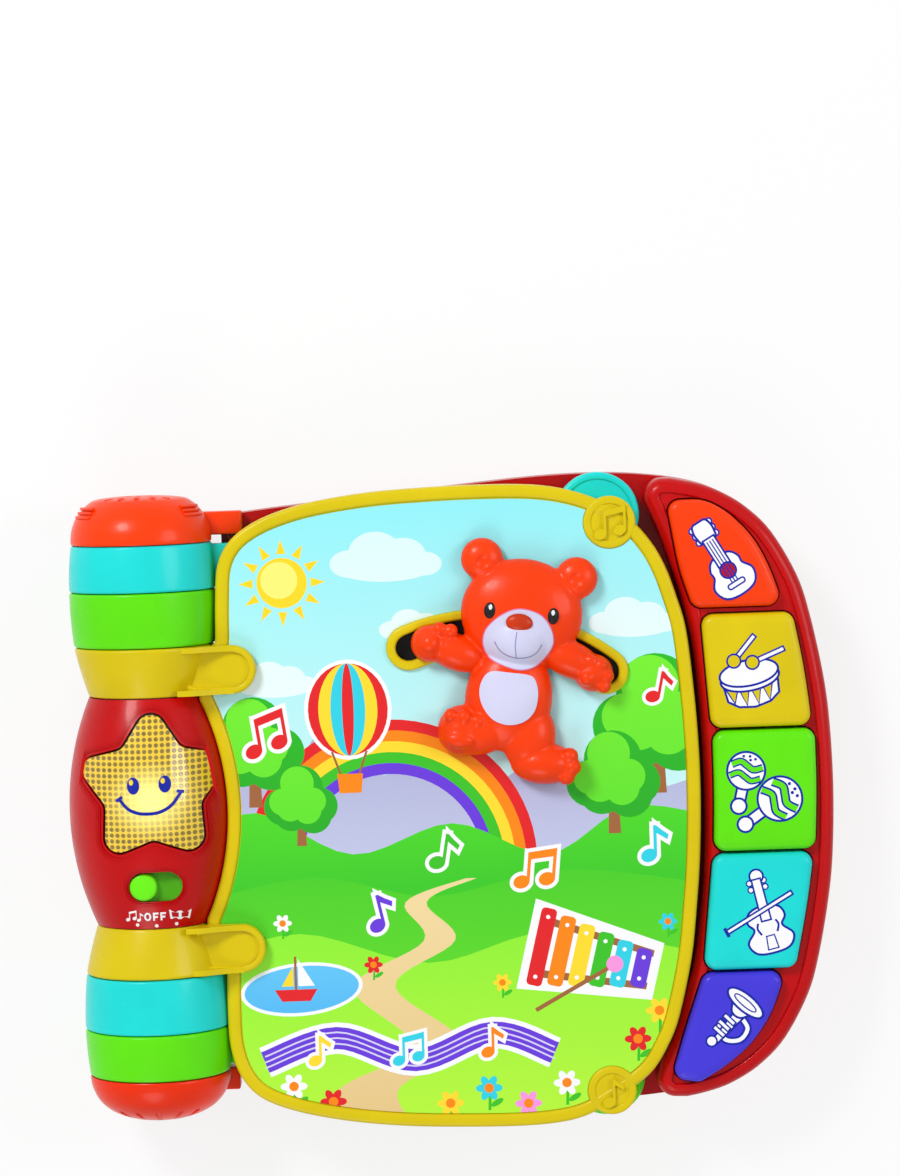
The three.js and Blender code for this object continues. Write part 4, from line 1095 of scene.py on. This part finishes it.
def ringShape(y0, y1, radius0, radius1, crown=0.3, edge=0.9):
    a = y0 + spine["ringGap"] / 2
    b = y1 - spine["ringGap"] / 2
    start, end = Vector((radius0, a)), Vector((radius1, b))
    outer = [start.lerp(end, i / 8) + Vector((crown * (1 - (i / 4 - 1) ** 2), 0)) for i in range(9)]
    return turned(rounded([(spine["bore"], a)] + outer + [(spine["bore"], b)], edge, 4), closed=True)


# dome profiles as (radius, rise over the last ring), grille rows as (distance from the middle, Y, tilt)
caps = {
    "top": [(25.0, 0), (25.2, 0.5), (25.2, 2), (24.7, 5.4), (23.2, 9.2), (20.8, 12.4), (18.6, 14.4),
            (15.6, 15.9), (8, 16.7), (0, 16.85)],
    "bottom": [(25.0, 0), (25.2, 0.5), (25.2, 1.6), (24.6, 4.6), (22.4, 9), (18.4, 12.7), (12.6, 15.3),
               (6, 16.6), (0, 16.85)],
    "armFrom": 97.5, "armTo": 105.8, "armBore": 21, "topArmEnd": -72, "armBevel": 0.8,
    "holeRadius": 1.15, "holeDepth": 9, "holes": 5, "spread": 22,
    "rows": [(16.4, 110, 50), (11.4, 112, 14), (6, 112.4, 5)],
    "rib": [(22.4, 104.8), (23.6, 105.4), (23.1, 106.3), (21.9, 105.7)], "ribStep": (-0.9, 1.5),
    "ribs": 3, "ribTurn": 62, "ribSweep": 30,
}


def capShape(profile):
    foot = spine["ringsHalf"] + spine["ringGap"] / 2
    bore = spine["bore"]
    dome = curveThrough([(radius, foot + rise) for radius, rise in profile], 5, closed=False)
    inner = [(0, foot + 14.2), (bore - 5, foot + 13), (bore, foot + 10.6), (bore, foot)]
    return grille(turned(inner + [(p[0], p[1]) for p in dome]))


def armShape(end, z0, z1):
    arm = block(spineX + 19, end, caps["armFrom"], caps["armTo"], z0, z1, bevel=caps["armBevel"])
    bore = turned([(0, 90), (caps["armBore"], 90), (caps["armBore"], 108), (0, 108)])
    return combined(arm, bore)


def twist(bm, degrees, axis, centre=(0, 0, 0)):
    matrix = Matrix.Rotation(math.radians(degrees), 3, axis)
    bmesh.ops.rotate(bm, cent=centre, matrix=matrix, verts=bm.verts)


def grille(shape):
    # small openings in the dome over the speaker
    tools = []
    for row, (reach, y, tilt) in enumerate(caps["rows"]):
        count = caps["holes"] - row
        for i in range(-count // 2 + 1, count // 2 + count % 2):
            hole = bmesh.new()
            bmesh.ops.create_cone(hole, segments=20, cap_ends=True, radius1=caps["holeRadius"],
                                  radius2=caps["holeRadius"], depth=caps["holeDepth"])
            twist(hole, 90 - tilt, "X")
            bmesh.ops.translate(hole, vec=(spineX, y, spineZ + reach), verts=hole.verts)
            twist(hole, i * (caps["spread"] + 9 * row), "Y", (spineX, 0, spineZ))
            tools.append(hole)
    return combined(shape, *tools)


def shoulderRib(side, number):
    section = [Vector(point) + number * Vector(caps["ribStep"]) for point in caps["rib"]]
    return turned(rounded(section, 0.25, 3), closed=True, start=side * caps["ribTurn"] - caps["ribSweep"] / 2,
                  sweep=caps["ribSweep"], sides=12)


topArm = armShape(caps["topArmEnd"], heights["deck"] + 0.3, heights["deck"] + 10)
bottomArm = armShape(base["left"] - 0.3, 5, heights["deck"] - 2)
ribs = [shoulderRib(side, number) for side in (-1, 1) for number in range(caps["ribs"])]
addPiece("topCap", [capShape(caps["top"]), topArm] + ribs, ["orange"], "root", ["top_cap"])
# the lug beside the top cap's arm, under the cover's edge: its red is painted darker as the shade there
ear = block(-77.2, -72.9, 95.2, 100.8, heights["deck"] - 0.3, 25.4, bevel=0.8)
addPiece("hingeEar", [ear], ["redInShade"], "root")
addPiece("bottomCap", [mirrored(capShape(caps["bottom"])), mirrored(bottomArm)], ["orangeRed"], "root",
         ["bottom_cap"])

print("spine made")

# Cover, pages and their rings

leaf = {
    "right": [(-82.6, -59.5), (-82.8, -72), (-82.4, -85), (-79.3, -96), (-72.5, -104.4), (-60, -110),
              (-41.7, -114.2), (-20.9, -116.8), (0, -117.9), (20.3, -118.3), (34, -117.6), (44, -115.6),
              (53, -111.3), (61.5, -106), (69.4, -99.5), (75.1, -90.5), (79.3, -80.2), (84.2, -59.6),
              (86.6, -40.8), (88.2, -23.9), (89.1, -3), (89, 15.9), (87.9, 35.9), (85.7, 58.5),
              (82.7, 70.3), (78.9, 81.5), (74, 90.5), (66.6, 99), (57.3, 105.2), (45.7, 109.6), (32, 112),
              (12, 112.6), (-8, 112.2), (-26, 111.2), (-44.5, 108.8), (-57, 105.9), (-68, 101.6),
              (-76.3, 95.5), (-80.8, 87), (-82, 75), (-82.4, 62), (-82.6, 59.5)],
    "left": -89, "rim": 4.6, "pageRim": 5, "pageInset": 1.5, "fold": 59.5,
}


def leafOutline(z, extra=0.15):
    # the left side follows the spine's own sections, seen at height z
    def edgeAt(y):
        radius = spineRadiusAt(y) + spine["turnGap"] + extra
        reach = math.sqrt(max(radius ** 2 - (z - spineZ) ** 2, 0))
        return max(leaf["left"], spineX + reach)

    count = 44
    left = [Vector((edgeAt(y), y)) for y in
            [(leaf["fold"] - 2) * (1 - 2 * i / count) for i in range(count + 1)]]
    return curveThrough(leaf["right"], 4, closed=False) + left


def envelope(extra=0.0):
    clear = spine["turnGap"] - 0.1 + extra
    ys = [spine["middleHalf"] * i / 16 for i in range(17)]
    side = [(middleRadiusAt(y) + clear, y) for y in ys]
    side += [(spine["yellowRadius"] + clear, spine["yellowHalf"]),
             (spine["innerRadius"] + clear, spine["innerHalf"]), (spine["innerRadius"] + clear, 116)]
    lower = [(radius, -y) for radius, y in side[:0:-1]]
    return turned([(0, -116)] + lower + side + [(0, 116)])


slotBand = {"centre": (12.3, -10), "radius": 70.3, "from": -21.5, "to": 39, "half": 4.75, "rim": 3.4,
            "height": 2.1}


def slotOutline(extra=0):
    return arcBand(slotBand["centre"], slotBand["radius"], slotBand["from"], slotBand["to"],
                   slotBand["half"] + extra)


medallions = [(59.4, 97.8, 9.4), (54.2, -106.3, 8.8)]


def makeCover():
    outline = leafOutline(heights["coverTop"])
    face = heights["coverFace"] - 0.1
    lower = prism(outline, heights["cover"], heights["coverSeam"] - 0.1, bottomBevel=0.8)
    body = prism(grown(outline, -0.6), heights["coverSeam"] - 0.3, face)
    rim = rimBand(outline, leaf["rim"] + 0.3, heights["coverSeam"] + 0.1, heights["coverTop"], bevel=1.5)
    opening = prism(slotOutline(1.6), heights["coverSeam"] - 1, 60)
    track = prism(slotOutline(3.8), heights["coverSeam"] - 0.2, heights["coverFace"] - 2)
    body = combined(body, envelope(), opening, track)
    recess = prism(grown(outline, -leaf["rim"] - 0.4), heights["cover"] - 1, heights["cover"] + 0.62)
    return combined(lower, envelope(), recess), body, combined(rim, envelope())


coverLower, coverBody, coverRimShape = makeCover()
slotRim = rimBand(slotOutline(slotBand["rim"]), slotBand["rim"], heights["coverFace"] - 2,
                  heights["coverFace"] + slotBand["height"], bevel=1.1)
padSteps = [(0, 2.2)] + edgeRound(0.9, 4) + [(1.4, 0)] + edgeFall(0.5, 3)
pads = [raisedPlate(ellipse(x, y, radius, count=56), heights["coverFace"] - 2, padSteps)
        for x, y, radius in medallions]
addPiece("coverFront", [coverBody, coverRimShape, slotRim] + pads, ["yellow"], "cover", ["cover_front"])
coverField = grown(leafOutline(heights["coverTop"]), -leaf["rim"] - 0.5)
holes = [grown(slotOutline(slotBand["rim"]), 0.05)]
holes += [ellipse(x, y, radius + 0.1, count=56) for x, y, radius in medallions]
coverPicture, coverInks = picture(coverMarks, heights["coverFace"] - 0.1, heights["coverFace"] + 0.45,
                                  (coverField, "sky"), holes)
addPiece("coverPicture", [(coverPicture, None)], [], "cover", ["cover_print"], coverInks)
reliefs = []
for (x, y, radius), double in zip(medallions, (True, False)):
    marks = noteMarks(x - (3.4 if double else 1.2), y - 4.2, 0.7, "yellow", double)
    marks = [mark for mark in marks if mark[1] == "yellow"]
    relief, reliefInks = picture(marks, heights["coverFace"], heights["coverFace"] + 2)
    reliefs.append(relief)
addPiece("medallionNotes", reliefs, ["yellow"], "cover")
addPiece("coverBack", [coverLower], ["yellow"], "cover", ["cover_back"])

tabLook = {"end": -68.1, "length": 14.3, "gap": 0.3, "lip": 2, "lipFrom": -96, "lipTo": -76, "bore": 21.5}


def tabShapes():
    # a flat finger over the cover, with two lips that fall from the ring to it
    bottom = heights["coverTop"] + 0.3
    top = bottom + 3.8
    middle = (spine["middleHalf"] + spine["yellowHalf"]) / 2
    half = (spine["yellowHalf"] - spine["middleHalf"]) / 2 - tabLook["gap"]
    finger = raisedPlate(stadium(tabLook["end"] - tabLook["length"], middle, tabLook["length"], half), bottom,
                         [(0, 2.6)] + edgeRound(1.2, 5) + [(0.6, 0)] + edgeFall(0.6, 3) + [(0.1, -0.9)])
    reach = tabLook["bore"]
    finger = combined(finger, turned([(0, 30), (reach, 30), (reach, 70), (0, 70)]))
    slope = [(-96, 60), (-96, 51.6), (-90, 49.6), (-84.5, 46.6), (-80, 44.9), (-76, top), (-74, top),
             (-74, 60)]
    fall = bmesh.new()
    sheet = fall.faces.new([fall.verts.new((x, 70, z)) for x, z in slope])
    made = bmesh.ops.extrude_face_region(fall, geom=[sheet])["geom"]
    bmesh.ops.translate(fall, vec=(0, -40, 0), verts=[v for v in made if isinstance(v, bmesh.types.BMVert)])
    bore = turned([(0, 30), (reach + 1, 30), (reach + 1, 70), (0, 70)])
    lips = []
    for s in (-1, 1):
        y = middle + s * (half - 1.1)
        lip = block(tabLook["lipFrom"], tabLook["lipTo"], y - tabLook["lip"] / 2, y + tabLook["lip"] / 2,
                    bottom + 1, top + 5.5)
        lips.append(combined(lip, fall.copy(), bore.copy()))
    return [finger] + lips


for side, nodeName in ((1, "cover_ring_top"), (-1, "cover_ring_bottom")):
    shapes = [ringShape(spine["middleHalf"], spine["yellowHalf"], spine["middleEnd"], spine["yellowRadius"])]
    shapes += tabShapes()
    if side < 0:
        shapes = [mirrored(shape) for shape in shapes]
    addPiece(nodeName + "_shell", shapes, ["yellow"], "cover", [nodeName])
print("cover made")

# each inner print: its field's ink, then its motifs
pageMarks = {
    "cover_back_print": ("night", (
        cloud(-40, 84, 1.2, "lilac") + cloud(40, 70, 1.0, "lilac")
        + oval(-50, 56, 12, 12, "sunPale") + oval(-45, 60, 11, 11, "night")
        + ground([(-95, -20), (-40, 0), (10, -16), (60, -2), (100, -18)], "farHill")
        + tree(-52, -20, 1.6) + tree(50, -26, 1.8) + drum(-4, -34, 1.4)
        + ground([(-95, -58), (-30, -50), (40, -60), (100, -52)], "meadow")
        + noteMarks(-20, 30, 1.2, "yellow", True) + noteMarks(34, 16, 1.1, "cyan")
        + flowers([(-60, -84), (-34, -92), (-6, -86), (24, -94), (52, -84)], 1.4))),
    "page_two_front_print": ("sky", (
        sun(48, 70, 1.3) + cloud(-34, 74, 1.4) + cloud(4, 48, 1.0)
        + ground([(-95, -6), (-40, 14), (20, -4), (100, 16)], "midHill")
        + kite(-36, 34, 1.5) + tree(56, 4, 1.8) + ground([(-95, -40), (0, -30), (100, -44)], "meadow")
        + xylophone(-14, -56, 1.2, 8) + noteMarks(44, -40, 1.2, "red", True)
        + flowers([(-58, -88), (-20, -94), (20, -92), (56, -84)], 1.4))),
    "page_two_back_print": ("cream", (
        rainbow(0, -10, 62) + cloud(-44, -12, 1.4, "white") + cloud(44, -12, 1.4, "white")
        + ground([(-95, -44), (0, -30), (100, -44)], "meadow") + drum(0, -52, 1.5)
        + noteMarks(-46, -60, 1.2, "violet", True) + noteMarks(40, -62, 1.2, "red")
        + flowers([(-50, -92), (-10, -94), (34, -92)], 1.4) + balloon(0, 22, 1.3))),
    "page_three_front_print": ("sky", (
        cloud(30, 78, 1.3) + cloud(-46, 60, 1.2) + balloon(-12, 44, 1.6)
        + ground([(-95, -10), (-20, 6), (50, -8), (100, 8)], "farHill") + tree(-56, -10, 1.8)
        + ground([(-95, -34), (10, -24), (100, -38)], "midHill") + noteMarks(44, 20, 1.3, "orange")
        + oval(10, -66, 52, 17, "white") + oval(10, -66, 50, 15, "pond") + boat(0, -64, 2)
        + flowers([(-58, -84), (-50, -50), (66, -48)], 1.4))),
    "page_three_back_print": ("night", (
        oval(40, 66, 13, 13, "sunPale") + oval(46, 70, 11.6, 11.6, "night") + cloud(-40, 70, 1.3, "lilac")
        + ground([(-95, -16), (0, 6), (100, -16)], "farHill") + tree(-20, -14, 2) + tree(36, -20, 1.6)
        + ground([(-95, -48), (0, -40), (100, -50)], "meadowDark")
        + noteMarks(-48, 20, 1.3, "yellow", True) + xylophone(4, -66, 1.1))),
    "base_print": ("meadow", (
        ground([(-95, 40), (-20, 50), (60, 36), (100, 44)], "meadowDark")
        + tree(-48, 60, 1.6) + tree(40, 58, 1.7)
        + path([(-10, -124), (-30, -80), (20, -40), (-10, 0), (20, 50)], (24, 8))
        + drum(-46, -4, 1.4) + kite(48, 0, 1.3)
        + noteMarks(-40, -60, 1.3, "red", True) + noteMarks(44, -64, 1.3, "cyan")
        + flowers([(-56, -86), (-6, -92), (24, -90), (60, -70), (-60, 30)], 1.4))),
}


def addPrint(nodeName, field, body):
    inkName, marks = pageMarks[nodeName]
    low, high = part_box(nodeName)
    sheet, sheetInks = picture(marks, low.z / mm, high.z / mm, (field, inkName))
    addPiece(nodeName + "_sheet", [(sheet, None)], [], body, [nodeName], sheetInks)


tabs = {"page_two": (55.6, 100.5, 15), "page_three": (53, -104, 14)}


def makePage(bottom, tab, rings):
    nearest = min(max(spineZ, bottom), bottom + heights["page"])
    outline = grown(leafOutline(nearest), -leaf["pageInset"])
    panel = bottom + (heights["page"] - heights["pagePanel"]) / 2
    body = prism(grown(outline, -0.5), panel, panel + heights["pagePanel"])
    rim = rimBand(outline, leaf["pageRim"], bottom, bottom + heights["page"], bevel=1.1)
    disc = raisedPlate(ellipse(tab[0], tab[1], tab[2], count=72), bottom,
                       [(0, heights["page"] - 1.1)] + edgeRound(1.1, 4) + [(0.9, 0)] + edgeFall(0.6, 3))
    shapes = [combined(body, envelope()), combined(rim, envelope()), disc]
    for y0, y1, radius0, radius1 in rings:
        arm = block(spineX + 20, -77, y0 + 1, y1 - 1, bottom, bottom + heights["page"], bevel=0.6)
        shapes += [ringShape(y0, y1, radius0, radius1), arm]
    return shapes


outerRing = [spine["innerHalf"], spine["ringsHalf"], spine["innerRadius"], spine["ringsRadius"]]
innerRing = [spine["yellowHalf"], spine["innerHalf"], spine["yellowRadius"], spine["innerRadius"]]


def otherEnd(section):
    y0, y1, radius0, radius1 = section
    return [-y1, -y0, radius1, radius0]


pageTwo = makePage(heights["pageTwo"], tabs["page_two"], [outerRing, otherEnd(innerRing)])
addPiece("pageTwo", pageTwo, ["cyan"], "page_two", ["page_two"])
pageThree = makePage(heights["pageThree"], tabs["page_three"], [innerRing, otherEnd(outerRing)])
addPiece("pageThree", pageThree, ["green"], "page_three", ["page_three"])

addPrint("cover_back_print", grown(leafOutline(heights["cover"]), -leaf["rim"] - 0.6), "cover")
for body, bottom in (("page_two", heights["pageTwo"]), ("page_three", heights["pageThree"])):
    nearest = min(max(spineZ, bottom), bottom + heights["page"])
    field = grown(leafOutline(nearest), -leaf["pageInset"] - leaf["pageRim"] - 0.6)
    addPrint(body + "_front_print", field, body)
    addPrint(body + "_back_print", field, body)
deckField = [Vector((max(p.x, -76), p.y)) for p in grown(leafOutline(heights["deck"]), -9)]
addPrint("base_print", cleaned(deckField), "root")

print("pages made")

# Teddy

# rows of place and half sizes: forms (x, y, three half sizes, turn), bumps with their height as well
teddy = {
    "back": heights["coverFace"] + slotBand["height"] + 0.3, "lift": 0.6, "voxel": 0.6,
    "forms": [
        (27.1, 66.5, 21.8, 19.6, 9.4, -8.5), (13.6, 86.4, 7.6, 7.6, 5, 0), (47, 78.4, 7.6, 7.6, 5, 0),
        (25.6, 57.8, 12.6, 10.8, 11, -8.5), (21.5, 36.5, 15.6, 19.5, 9, -8.5),
        (3, 53.6, 11, 6.6, 6.6, -24), (-5.8, 56.9, 7, 6.8, 6.8, 0),
        (44, 49.5, 12, 6.6, 6.6, -26), (52, 44.4, 7, 6.8, 6.8, 0),
        (10.6, 25, 12, 8.6, 7.6, 8), (4.6, 25.4, 8.9, 9.2, 8.4, 0),
        (28.4, 22, 9.4, 12.4, 7.6, -10), (33.4, 12.6, 12.2, 7.4, 8.2, -4)],
    "bumps": [
        (-2.4, 62.2, 4.6, 2.6, 2.6, 2.4, 0), (1.6, 61.4, 4.6, 2.6, 2.6, 2.4, 0), (-6, 57.2, 4.6, 4, 4, 4, 0),
        (51, 49, 4.4, 2.6, 2.6, 2.6, 0), (54.6, 47.2, 4.6, 2.6, 2.6, 2.6, 0),
        (56.6, 43.4, 4.4, 2.6, 2.6, 2.6, 0), (55.4, 39.8, 4.2, 2.6, 2.6, 2.6, 0),
        (49.6, 43, 5.4, 3, 3, 2.8, 0), (0.6, 31.4, 6.4, 2.5, 2.7, 2.6, 0),
        (5.4, 30.6, 7.0, 2.7, 2.9, 2.6, 0), (10, 29, 6.4, 2.5, 2.7, 2.6, 0),
        (3.6, 22.6, 7.6, 5.2, 3, 2.4, -8), (42.4, 15.4, 4.6, 3.2, 3, 3.4, 0),
        (43.4, 11.4, 4.6, 3.2, 3, 3.6, 0), (41, 8, 4.2, 3.2, 3, 3.4, 0)],
    "dimples": [(14, 85.4, 50.2, 4.3, 4.3, 3.9), (46.8, 78, 50.2, 4.3, 4.3, 3.9)],
    "eyes": [(15.8, 68.4), (37.9, 65.6)], "nose": (25.9, 63.8),
    "muzzle": [(25.8, 68.5), (19.2, 66.2), (14.2, 61.6), (13.1, 56.3), (15.1, 51.6), (20.4, 48.6), (26, 47),
               (31.4, 48.1), (35.5, 52.0), (37.7, 56.3), (36.7, 61.7), (33, 66.4)],
    "belly": [(15.2, 46.6), (22.1, 46.1), (29.4, 44.7), (31.5, 41.4), (31.7, 36.5), (30.1, 31.6),
              (26.4, 28.4), (21.0, 27.5), (15.8, 29.4), (12.4, 33.6), (11.0, 38.5), (11.9, 43.2)],
    "smile": [(16.9, 57.4), (18.4, 54.6), (20.9, 52.5), (24.9, 51.2), (29.3, 51.6), (32, 53.2), (33.7, 55.8)],
    "lipLine": [(24.9, 60.6), (24.2, 56.0), (24.4, 51.6)],
}


def teddyShell(extra=0.0):
    # the whole figure as one smooth body, swollen by a little for the painted panels
    forms = [(ball(x, y, teddy["back"] + z, a, b, c, turn), 0) for x, y, z, a, b, c, turn in teddy["bumps"]]
    middle = teddy["back"] + teddy["lift"]
    forms += [(ball(x, y, middle, a, b, c, turn), 0) for x, y, a, b, c, turn in teddy["forms"]]
    obj = workObject(gather(forms))
    remesh = obj.modifiers.new("remesh", "REMESH")
    remesh.mode = "VOXEL"
    remesh.voxel_size = teddy["voxel"]
    soften = obj.modifiers.new("soften", "SMOOTH")
    soften.factor = 0.5
    soften.iterations = 4
    swell = obj.modifiers.new("swell", "DISPLACE")
    swell.mid_level = 0
    swell.strength = extra
    bm = applied(obj)
    bpy.data.objects.remove(obj)
    bmesh.ops.bisect_plane(bm, geom=bm.verts[:] + bm.edges[:] + bm.faces[:], dist=1e-4,
                           plane_co=(0, 0, teddy["back"]), plane_no=(0, 0, -1), clear_outer=True)
    bmesh.ops.holes_fill(bm, edges=[e for e in bm.edges if e.is_boundary], sides=0)
    return bm


def teddyPanel(points, extra):
    column = prism(anticlockwise(points), teddy["back"] + 4, 80)
    return combined(teddyShell(extra), column, operation="INTERSECT")


def surfaceHeight(bm, x, y):
    return BVHTree.FromBMesh(bm).ray_cast(Vector((x, y, 200)), Vector((0, 0, -1)))[0].z


teddyBody = combined(teddyShell(), *[ball(*dimple) for dimple in teddy["dimples"]])
muzzle = teddyPanel(curveThrough(teddy["muzzle"], 5), 0.45)
features = [teddyBody, (teddyPanel(curveThrough(teddy["belly"], 5), 0.4), 1)]
for panel, width, extra in (("belly", 0.45, 0.22), ("muzzle", 0.4, 0.25)):
    edge = grown(curveThrough(teddy[panel], 2), width)
    features.append((teddyPanel(curveThrough(edge, 5), extra), 2))
for x, y in teddy["eyes"]:
    z = surfaceHeight(teddyBody, x, y)
    features += [(ball(x, y, z - 0.3, 2.2, 2.95, 1.3, -8), 3),
                 (ball(x + 0.1, y + 1.0, z + 0.62, 0.72, 1.25, 0.45, -8), 4)]
noseX, noseY = teddy["nose"]
features.append((ball(noseX, noseY, surfaceHeight(muzzle, noseX, noseY) - 0.2, 4.8, 3.3, 1.9, -6), 5))
# the mouth lines in darker lavender: painted shade for the engraved mouth groove, which is not cut into the
# muzzle
lips = [(stroke(teddy[part], 0.42, 6), "mouth") for part in ("smile", "lipLine")]
mouth, mouthInks = picture(lips, 0, 1, first=6)
draped(mouth, muzzle, 0.05)
features += [(muzzle, 1), (mouth, None)]
addPiece("teddyFigure", features, ["orange", "lavender", "pinkEdge", "black", "eyeWhite", "nose"], "teddy",
         ["teddy"], mouthInks, angle=60)
print("teddy made")

# Finishes of the CAD pieces that stay

carried = {
    "steel": ["door_screw", "contact_left", "contact_right"] + [f"case_screw_{i}" for i in range(1, 7)],
    "red": ["battery_door"],
    "wrap": ["battery_upper", "battery_lower"],
    "board": ["circuit_board", "light_board"],
    "rubber": ["key_pad"],
    "grey": ["spine_core"],
    "black": ["speaker", "slot_track"],
    "orange": ["teddy_carrier"],
}
for paint, nodeNames in carried.items():
    for nodeName in nodeNames:
        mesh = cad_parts[nodeName].data
        mesh.materials.clear()
        mesh.materials.append(paints[paint])

# Floor and light

floorMesh = bpy.data.meshes.new("floor")
bm = bmesh.new()
bmesh.ops.create_grid(bm, x_segments=1, y_segments=1, size=6)
bm.to_mesh(floorMesh)
bm.free()
floor = bpy.data.objects.new("floor", floorMesh)
floor.location.z = -0.0005
bpy.context.collection.objects.link(floor)


def backgroundRays(tree):
    # rays that see the backdrop itself: straight, in gloss or through clear pieces
    path = addNode(tree, "LightPath").outputs
    direct = calculated(tree, "ADD", path["Is Camera Ray"], path["Is Glossy Ray"])
    return calculated(tree, "ADD", direct, path["Is Transmission Ray"])


pale = (0.85, 0.85, 0.85, 1)
floorMaterial = newMaterial("paleFloor", pale, {"Base Color": pale, "Roughness": 0.8})
tree = floorMaterial.node_tree
surface = tree.nodes["Principled BSDF"].outputs[0]
glow = addNode(tree, "Emission", {"Color": (1, 1, 1, 1), "Strength": 1.0}).outputs[0]
share = calculated(tree, "MULTIPLY", backgroundRays(tree), 0.8, clamped=True)
blend = addNode(tree, "MixShader", {0: share, 1: surface, 2: glow}).outputs[0]
# open from below, so that the underside can be looked at
side = addNode(tree, "NewGeometry").outputs["Backfacing"]
clear = addNode(tree, "BsdfTransparent").outputs[0]
oneSided = addNode(tree, "MixShader", {0: side, 1: blend, 2: clear})
tree.links.new(oneSided.outputs[0], tree.nodes["Material Output"].inputs["Surface"])
floorMesh.materials.append(floorMaterial)

world = bpy.data.worlds.new("studio")
bpy.context.scene.world = world
world.use_nodes = True
tree = world.node_tree
tree.nodes["Background"].inputs["Color"].default_value = (1, 1, 1, 1)
tree.links.new(ranged(tree, backgroundRays(tree), 0, 1, 0.4, 1), tree.nodes["Background"].inputs["Strength"])

lamps = {
    "upperLeft": {"place": (-0.75, 1.0, 1.15), "size": 0.5, "watts": 16.5},
    "rightFill": {"place": (1.25, 0.35, 1.15), "size": 0.8, "watts": 8},
    "lowerFill": {"place": (-0.35, -1.2, 1.1), "size": 0.8, "watts": 6.5},
}
for name, look in lamps.items():
    data = bpy.data.lights.new(name, "AREA")
    data.shape = "DISK"
    data.size = look["size"]
    data.energy = look["watts"]
    lamp = bpy.data.objects.new(name, data)
    bpy.context.collection.objects.link(lamp)
    lamp.location = look["place"]
    lamp.rotation_euler = (-Vector(look["place"])).to_track_quat("-Z", "Y").to_euler()

bpy.context.scene.view_settings.view_transform = "Standard"
print("floor and light made")
